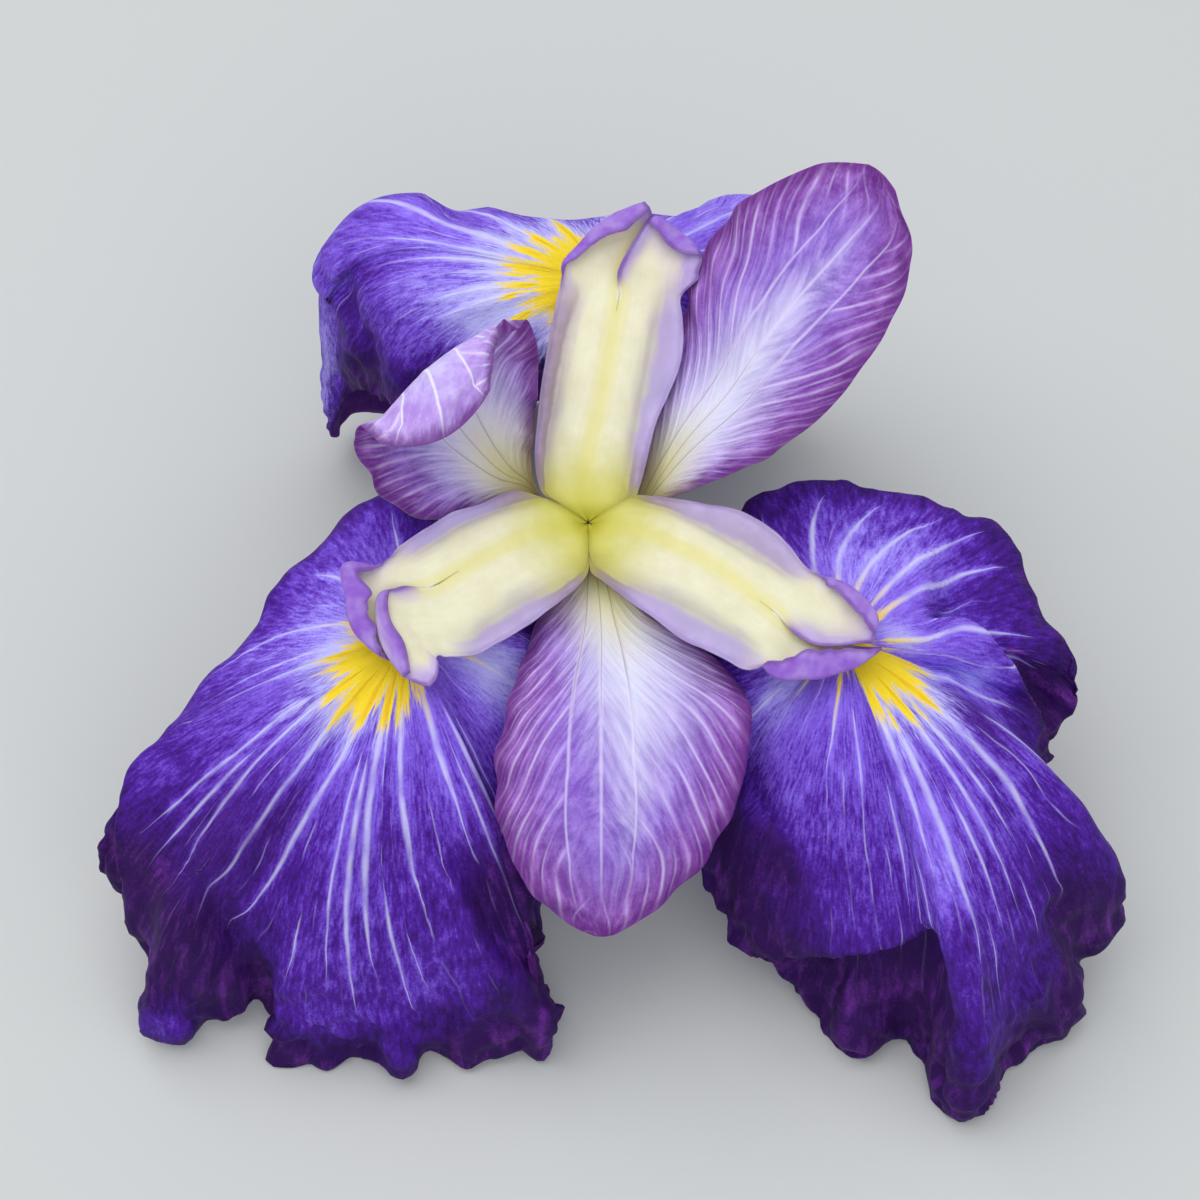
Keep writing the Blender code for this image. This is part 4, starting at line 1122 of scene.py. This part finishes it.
def fibre_surface(name, dark, light, roughness, bump):
    """Round green or pale parts: fibres that run along them under a thin waxy bloom."""
    made, tree = new_surface(name)
    around, along, _ = carried(tree, "lanes")
    fibres, flecks = stretched_noise(tree, around, along, 2.2, 7.0, 3.0), spot_noise(tree, 0.4)
    tone = total(tree, (flecks, 0.4), (fibres, 0.7))
    base = paint(tree, dark, (light, (tone, 0.35, 0.8)))
    petal_shader(tree, base, total(tree, (flecks, 0.3), (fibres, 0.8)), bump, roughness)
    return made


def grain_surface(name, dark, light):
    """Pollen: grains a tenth of a millimetre across, drawn three times coarser so that they show."""
    made, tree = new_surface(name)
    place = node(tree, "TexCoord", out="Object")
    grains = node(tree, "TexVoronoi", place, Scale=1 / (0.3 * MM))
    base = paint(tree, light, (dark, (grains, 0.1, 0.6)))
    petal_shader(tree, base, total(tree, (grains, -1.0), plus=1.0), 0.25, 0.8)
    return made


# ---------------------------------------------------------------- round parts

def round_maps(around, run):
    """Map of a round part, in millimetres round it and along it."""
    return {"lanes": np.stack(np.broadcast_arrays(around[None, :], run[:, None]), -1)}


def lengths_along(path):
    """Length of the way along a path, from its first point."""
    return np.concatenate([[0], np.cumsum(np.linalg.norm(np.diff(path, axis=0), axis=1))])


def swept(path, radii, sides):
    """Rings of points along a bent path, as a grid whose first and last columns meet."""
    path, radii = np.asarray(path, float), np.asarray(radii, float)
    ahead = unit(np.gradient(path, axis=0))
    first = unit(np.cross(ahead, np.array([1.0, 0.2, 0.1])))
    second = np.cross(ahead, first)
    turn = np.linspace(0, 2 * np.pi, sides + 1)
    ring = np.cos(turn)[None, :, None] * first[:, None] + np.sin(turn)[None, :, None] * second[:, None]
    grid = path[:, None] + ring * radii[:, None, None]
    grid[:, -1] = grid[:, 0]
    return grid, round_maps(turn * radii.max(), lengths_along(path))


def turned(profile, sides, ribs=0, depth=0.0):
    """Rings about the flower's axis, from radius and depth pairs; ribs swell them."""
    profile = np.asarray(profile, float)
    turn = np.linspace(0, 2 * np.pi, sides + 1)
    swell = 1 + depth * np.cos(turn * ribs)
    radii = profile[:, :1] * swell[None, :]
    height = np.broadcast_to(-profile[:, 1:2], radii.shape)
    grid = lean(np.stack([radii * np.cos(turn), radii * np.sin(turn), height], -1))
    grid[:, -1] = grid[:, 0]
    return grid, round_maps(turn * profile[:, 0].max(), lengths_along(profile))


def fine_profile(profile, steps):
    """A smooth outline through radius and depth pairs."""
    flat = [(radius, depth, 0.0) for radius, depth in profile]
    curve = smooth_curve(flat, np.linspace(0, 1, steps))
    return [(max(radius, 0.0), depth) for radius, depth, _ in curve]


def filament(arm):
    """A slender stalk from inside the rim of the tube, bent out under its arm to the anther."""
    start = lean(polar(FILAMENT_SEAT, arm["heading"], SEAT_GAP - RIM_DEPTH))
    bend = lean(polar(FILAMENT_SEAT + 0.1, arm["heading"], -FILAMENT_BEND))
    run = [arm_place(arm, s, 0, n) for s, n in FILAMENT_RUN]
    path = smooth_curve([start, bend] + run, np.linspace(0, 1, 40))
    radii = np.concatenate([[0], np.linspace(0.5, 0.32, 38), [0]])
    return swept(path, radii, 20)


def anther(arm):
    """A flat two-lobed bag: a groove runs down the middle of its upper and lower faces."""
    along, around = ANTHER_STEPS
    share, turn = np.linspace(0, 1, along)[:, None], np.linspace(0, 2 * np.pi, around + 1)[None, :]
    full = np.sqrt(np.clip(1 - np.abs(2 * share - 1) ** 3, 0, 1))
    lobes = 1 - 0.45 * np.exp(-(np.cos(turn) / 0.22) ** 2)
    t = ANTHER_WIDTH / 2 * full * np.cos(turn)
    n = -ANTHER_DROP + ANTHER_DEPTH / 2 * full * np.sin(turn) * lobes
    s = ANTHER_START + (ANTHER_END - ANTHER_START) * share + 0 * turn
    grid = arm_place(arm, s, t, n)
    grid[:, -1] = grid[:, 0]
    return grid, round_maps(np.linspace(0, 8, around + 1), np.linspace(0, 13, along))


def column_profile():
    """Outline of the style column, from the middle of its top down to its foot."""
    foot = CUP_DEPTH - SEAT_GAP
    top = [(0, COLUMN_TOP), (COLUMN_RADIUS - 0.5, COLUMN_TOP), (COLUMN_RADIUS, COLUMN_TOP + 0.8)]
    return top + [(COLUMN_RADIUS, foot), (0, foot)]


def tube_profile():
    """Outline of the perianth tube: up the inside of its cup, over the rim and down its outside."""
    inside = [(0, CUP_DEPTH), (RIM_INNER - 0.4, CUP_DEPTH - 0.1), (RIM_INNER, CUP_DEPTH - 1.2)]
    inside += fine_profile([(RIM_INNER, 22.0), (RIM_INNER + 0.1, 19.5), (RIM_INNER + 0.7, RIM_DEPTH)], 8)
    outside = [(RIM_OUTER, RIM_DEPTH), (5.2, 20.0), (4.4, 23.0), (3.7, 27.0), (3.4, TUBE_END)]
    return inside + fine_profile(outside, 30) + [(0, TUBE_END)]


def ovary_profile():
    """Outline of the ovary, a pod that is widest in its middle."""
    outline = [(3.1, OVARY_START), (3.7, 34), (4.1, 37), (4.1, 40.5), (3.5, 44.5), (2.5, OVARY_END)]
    return [(0, OVARY_START)] + fine_profile(outline, 60) + [(0, OVARY_END)]


def stem_sheet():
    """The short stem: it follows the leaning axis, then bends down to stand on its cut end."""
    top, bend = lean([0, 0, -STEM_START]), lean([0, 0, -STEM_START - 6.0])
    foot = np.array([bend[0], bend[1] + 0.8, GROUND])
    path = smooth_curve([top, (top + bend) / 2, bend, foot + (0, 0, 3), foot], np.linspace(0, 1, 40))
    path[-8:, :2] = foot[:2]
    path = np.vstack([path[:1], path, path[-1:], path[-1:]])
    radii = np.full(len(path), STEM_RADIUS)
    radii[0], radii[-2], radii[-1] = 0, STEM_RADIUS * 0.8, 0
    grid, maps = swept(path, radii, 72)
    grid[-3:, :, 2] = GROUND
    return grid, maps


def show_cut(mesh):
    """Gives the faces on the ground, where the stem was cut, the second surface."""
    lowest = (STAND[2] + GROUND + 0.05) * MM
    for face in mesh.polygons:
        if face.center.z < lowest:
            face.material_index = 1
            face.use_smooth = False


# ---------------------------------------------------------------- settings

def colour_setting(name, text, description):
    """A colour that a user may change."""
    return bpy.props.FloatVectorProperty(
        name=name, description=description, subtype="COLOR", size=4, min=0, max=1, default=colour(text),
    )


def length_setting(name, value, description):
    """A length that a user may change, given in millimetres."""
    return bpy.props.FloatProperty(
        name=name, description=description, default=value * MM, min=0, unit="LENGTH", subtype="DISTANCE",
    )


class IrisFallSettings(bpy.types.PropertyGroup):
    """Sizes and colours of the three falls"""
    thickness: length_setting("Thickness", 0.45, "Thickness of a fall, thinner near its margin")
    ruffle: length_setting("Ruffle", 1.0, "Height of the ruffles along the margin")
    blade: colour_setting("Blade", "#5821ac", "Violet of the blade")
    deep: colour_setting("Streaks", "#2b0853", "Darker streaks in the blade")
    vein: colour_setting("Veins", "#d9d6fb", "White veins")
    gold: colour_setting("Signal", "#f7d72c", "Yellow signal at the heart of the blade")
    under: colour_setting("Underside", "#6d2f9c", "Magenta violet of the underside")


class IrisStandardSettings(bpy.types.PropertyGroup):
    """Sizes and colours of the three standards"""
    thickness: length_setting("Thickness", 0.35, "Thickness of a standard")
    ruffle: length_setting("Ruffle", 0.7, "Height of the waves along the margin")
    blade: colour_setting("Blade", "#ae8ee2", "Lavender of the blade")
    pale: colour_setting("Centre", "#dfe0f4", "Near white of the lower middle")
    rim: colour_setting("Margin", "#5e1c78", "Dark magenta line of the margin")


class IrisArmSettings(bpy.types.PropertyGroup):
    """Sizes and colours of the three style arms"""
    thickness: length_setting("Thickness", 0.4, "Thickness of the flanges and crests")
    cream: colour_setting("Cream", "#e6e2c6", "Cream of the ridges")
    violet: colour_setting("Crest", "#b199cf", "Violet of the crests")


class IrisStageSettings(bpy.types.PropertyGroup):
    """Floor and light of the studio"""
    floor: colour_setting("Floor", "#c6c7c6", "Pale floor")
    light: bpy.props.FloatProperty(
        name="Light", description="Power of the overhead softbox", default=7.0, min=0, unit="POWER",
    )


# ---------------------------------------------------------------- pieces

class IrisPieces:
    """What the operators share: each one builds its pieces and fails loudly if one is empty."""
    bl_options = {"REGISTER", "UNDO"}

    def execute(self, context):
        for piece in self.build(context.scene):
            if not piece.data.polygons:
                raise RuntimeError(piece.name + " has no faces")
        return {"FINISHED"}


class IRIS_OT_falls(IrisPieces, bpy.types.Operator):
    """Build the three falls: broad blades that hang from a claw, veined, ruffled and pleated"""
    bl_idname = "iris.falls"
    bl_label = "Falls"

    def build(self, scene):
        look = scene.iris_falls
        upper = fall_surface("fall velvet, living violet petal", {
            "blade": look.blade, "deep": look.deep, "vein": look.vein, "gold": look.gold,
            "fleck": "#9474f4", "halo": "#c8c9fb", "amber": "#e6a91c", "rim": "#2d0a56",
            # bloom: paler magenta painted on the crests of the margin's creases, a painted highlight
            "blush": "#2f0850", "bloom": "#74309c",
            "fleck_share": 0.9, "halo_share": 0.9, "gold_share": 1.0, "rim_share": 0.75,
        })
        under = fall_surface("fall underside, living magenta petal", {
            "blade": look.under, "deep": "#4c1d78", "vein": "#c9a8dc", "gold": look.gold,
            "fleck": "#9a62c0", "halo": "#b9a5cf", "amber": "#c8b060", "rim": "#5a2280",
            # bloom: paler magenta painted on the crests of the margin's creases, a painted highlight
            "blush": "#4a1560", "bloom": "#8040a0",
            "fleck_share": 0.5, "halo_share": 0.5, "gold_share": 0.35, "rim_share": 0.4,
        })
        for name, fall in FALLS.items():
            smooth = fall_grid(fall, *FALL_STEPS)
            number, half = fall_veins(name, *FALL_STEPS)
            measures = fall_measures(name, smooth, number, half)
            grid = ruffle_fall(name, smooth, number, look.ruffle / MM)
            piece = add_piece(
                "fall_blade_" + name, [(grid, measures)], [upper, under], "fall_" + name,
            )
            thicken(piece, look.thickness, 0, 0.4 + 0.6 * ease(0, 4, measure_of(piece, "zones", 2)))
            yield piece


class IRIS_OT_standards(IrisPieces, bpy.types.Operator):
    """Build the three standards: small upright petals with white veins and a dark margin"""
    bl_idname = "iris.standards"
    bl_label = "Standards"

    def build(self, scene):
        look = scene.iris_standards
        front = standard_surface("standard petal, living lavender", {
            "blade": look.blade, "deep": "#7c52bc", "blush": "#702c8a", "blush_light": "#a86abf",
            "pale": look.pale, "vein": "#e2d6fa", "rim": look.rim, "foot": "#d8d070", "green": "#6d7a3c",
            "blush_share": 0.85, "pale_share": 0.95, "vein_share": 0.55, "rim_share": 0.75, "green_end": 0.6,
        })
        back = standard_surface("standard underside, living pale lavender", {
            "blade": "#cdbaf2", "deep": "#ae92de", "blush": "#a878c8", "blush_light": "#c8a4e0",
            "pale": look.pale, "vein": "#f4eeff", "rim": look.rim, "foot": "#d5d79a", "green": "#8f9a60",
            "blush_share": 0.5, "pale_share": 0.6, "vein_share": 0.7, "rim_share": 0.8, "green_end": 0.4,
        })
        number = side_veins(*STANDARD_STEPS)
        for name, standard in STANDARDS.items():
            smooth = standard_grid(standard, *STANDARD_STEPS)
            measures = standard_measures(standard, smooth, number)
            grid = ruffle_standard(standard, smooth, number, look.ruffle / MM)
            piece = add_piece(
                "standard_blade_" + name, [(grid, measures)], [front, back],
                "standard_" + name,
            )
            thicken(piece, look.thickness, 0, 0.45 + 0.55 * ease(0, 3, measure_of(piece, "zones", 1)))
            yield piece


class IRIS_OT_style_arms(IrisPieces, bpy.types.Operator):
    """Build the three style arms: cream double ridges with lavender flanges and violet crests"""
    bl_idname = "iris.style_arms"
    bl_label = "Style arms"

    def build(self, scene):
        look = scene.iris_arms
        shades = {
            "cream": look.cream, "violet": look.violet, "shade": "#dad5b6", "groove": "#ded47c",
            "heart": "#c6c04e", "flange": "#b4a6d0", "turn": "#c0b7b2", "tan": "#94817a",
            # turn: the greyish painted shade where a ridge turns down into its shoulder
            "fringe": "#c0b6e4", "root": "#90806c", "flank": "#a39b48", "light": "#e8e2f4",
            "edge": "#73489c", "crevice": "#b0a82c",
        }
        upper = arm_surface("style arm, living cream tissue", shades)
        shades = {**shades, "cream": "#e6e0c4", "flange": "#a98cd0", "violet": "#8b58c4"}
        under = arm_surface("style arm underside, living pale tissue", shades)
        for name in ARMS:
            sheets = [arm_half(name, side, *ARM_STEPS) for side in ("left", "right")]
            piece = add_piece(
                "style_arm_blade_" + name, sheets, [upper, under], "style_arm_" + name,
            )
            sheet = look.thickness / (ARM_BODY * MM) * (0.5 + 0.5 * ease(0, 2, measure_of(piece, "zones", 2)))
            thicken(piece, ARM_BODY * MM, -1, np.maximum(sheet, measure_of(piece, "sizes", 1)))
            yield piece


class IRIS_OT_stamens(IrisPieces, bpy.types.Operator):
    """Build the three stamens: a slender filament and a two-lobed anther under each style arm"""
    bl_idname = "iris.stamens"
    bl_label = "Stamens"

    def build(self, scene):
        stalk = fibre_surface("filament, living pale tissue", "#d8cfe6", "#f3f0dc", 0.45, 0.05)
        pollen = grain_surface("pollen, ripe anther", "#cdb98a", "#f4ecce")
        for name, arm in ARMS.items():
            thread, bag = filament(arm), anther(arm)
            yield add_piece("filament_stalk_" + name, [thread], [stalk], "filament_" + name)
            yield add_piece("anther_lobes_" + name, [bag], [pollen], "anther_" + name)


class IRIS_OT_stalk(IrisPieces, bpy.types.Operator):
    """Build what holds the flower: style column, perianth tube, ovary and the cut stem"""
    bl_idname = "iris.stalk"
    bl_label = "Column, tube, ovary and stem"

    def build(self, scene):
        cream = fibre_surface("style column, living cream tissue", "#a3a544", "#c6c468", 0.42, 0.08)
        throat = fibre_surface("perianth tube, living green tissue", "#8fa04c", "#c3cc86", 0.45, 0.1)
        green = fibre_surface("ovary, living green tissue", "#4f7a2c", "#7da24c", 0.5, 0.15)
        bloom = fibre_surface("stem, fresh green with waxy bloom", "#48752c", "#86a862", 0.48, 0.18)
        cut = fibre_surface("cut stem end, moist pale pith", "#b8c98a", "#e2e8c4", 0.3, 0.1)
        column = turned(column_profile(), 40)
        tube = turned(tube_profile(), 96, 6, 0.025)
        ovary = turned(ovary_profile(), 120, 6, 0.045)
        yield add_piece("style_column_stalk", [column], [cream], "style_column")
        yield add_piece("perianth_tube_cup", [tube], [throat], "perianth_tube")
        yield add_piece("ovary_pod", [ovary], [green], "ovary")
        piece = add_piece("stem_stalk", [stem_sheet()], [bloom, cut], "stem")
        show_cut(piece.data)
        yield piece


# ---------------------------------------------------------------- stage

class IRIS_OT_stage(bpy.types.Operator):
    """Set the pale floor, the overhead softbox and the camera above the front of the flower"""
    bl_idname = "iris.stage"
    bl_label = "Stage"
    bl_options = {"REGISTER", "UNDO"}

    def execute(self, context):
        look = context.scene.iris_stage
        floor = add_floor(look.floor)
        if floor.name not in context.scene.objects:
            raise RuntimeError("the floor is not in the scene")
        for name, (share, size, place) in LIGHTS.items():
            add_light(name, look.light * share, size, place)
        world = bpy.data.worlds.new("Studio")
        world.use_nodes = True
        background = world.node_tree.nodes["Background"]
        background.inputs["Color"].default_value = colour(SKY_COLOUR)
        background.inputs["Strength"].default_value = SKY_STRENGTH
        context.scene.world = world
        context.scene.view_settings.view_transform = "Standard"
        add_camera(context.scene)
        return {"FINISHED"}


def add_floor(shade):
    """The pale studio floor under the flower."""
    mesh = bpy.data.meshes.new("Floor")
    shape = bmesh.new()
    bmesh.ops.create_grid(shape, x_segments=1, y_segments=1, size=FLOOR_HALF)
    shape.to_mesh(mesh)
    shape.free()
    made, tree = new_surface("floor, matt painted board")
    normal = node(tree, "Bump", Height=spot_noise(tree, 1.5), Distance=0.02 * MM)
    shader = node(tree, "BsdfPrincipled", Base_Color=shade, Roughness=0.85, Normal=normal)
    node(tree, "OutputMaterial", shader)
    mesh.materials.append(made)
    floor = bpy.data.objects.new("Floor", mesh)
    bpy.context.scene.collection.objects.link(floor)
    floor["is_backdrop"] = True
    return floor


def add_light(name, power, size, place):
    """A square area light that faces the middle of the floor."""
    light = bpy.data.lights.new(name, "AREA")
    light.energy = power
    light.size = size
    lamp = bpy.data.objects.new(name, light)
    lamp.location = place
    lamp.rotation_euler = (-Vector(place)).to_track_quat("-Z", "Y").to_euler()
    bpy.context.scene.collection.objects.link(lamp)


def add_camera(scene):
    """A long lens half a metre away, looking down at the heart of the flower."""
    ahead = np.array([0, math.cos(VIEW_TILT), -math.sin(VIEW_TILT)])
    up = np.array([0, math.sin(VIEW_TILT), math.cos(VIEW_TILT)])
    target = STAND + np.array([VIEW_ASIDE, 0, 0]) - up * VIEW_BELOW
    lens = bpy.data.cameras.new("Camera")
    lens.lens, lens.sensor_width = LENS, SENSOR
    camera = bpy.data.objects.new("Camera", lens)
    camera.location = Vector(target - ahead * VIEW_AWAY) * MM
    camera.rotation_euler = Vector(ahead).to_track_quat("-Z", "Y").to_euler()
    scene.collection.objects.link(camera)
    scene.camera = camera


# ---------------------------------------------------------------- add-on

class IRIS_PT_flower(bpy.types.Panel):
    """Settings and pieces of the iris flower"""
    bl_label = "Iris flower"
    bl_space_type = "VIEW_3D"
    bl_region_type = "UI"
    bl_category = "Iris"

    def draw(self, context):
        for group in SETTINGS:
            look = getattr(context.scene, group)
            box = self.layout.box()
            for name in look.__annotations__:
                box.prop(look, name)
        for operator in OPERATORS:
            self.layout.operator(operator.bl_idname)


SETTINGS = {
    "iris_falls": IrisFallSettings, "iris_standards": IrisStandardSettings,
    "iris_arms": IrisArmSettings, "iris_stage": IrisStageSettings,
}
OPERATORS = (
    IRIS_OT_falls, IRIS_OT_standards, IRIS_OT_style_arms, IRIS_OT_stamens, IRIS_OT_stalk, IRIS_OT_stage,
)


def register():
    for name, group in SETTINGS.items():
        bpy.utils.register_class(group)
        setattr(bpy.types.Scene, name, bpy.props.PointerProperty(type=group))
    for operator in OPERATORS:
        bpy.utils.register_class(operator)
    bpy.utils.register_class(IRIS_PT_flower)


def unregister():
    bpy.utils.unregister_class(IRIS_PT_flower)
    for operator in reversed(OPERATORS):
        bpy.utils.unregister_class(operator)
    for name, group in reversed(list(SETTINGS.items())):
        delattr(bpy.types.Scene, name)
        bpy.utils.unregister_class(group)


def write_sizes():
    """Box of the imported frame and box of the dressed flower, as plain lists of metres."""
    boxes = {"frame": FRAME_BOX, "flower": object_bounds()}
    plain = {name: [[float(value) for value in corner] for corner in box] for name, box in boxes.items()}


def main():
    """Registers the add-on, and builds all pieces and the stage."""
    register()
    bpy.ops.iris.falls()
    bpy.ops.iris.standards()
    bpy.ops.iris.style_arms()
    bpy.ops.iris.stamens()
    bpy.ops.iris.stalk()
    bpy.ops.iris.stage()
    write_sizes()


if __name__ == "__main__":
    main()
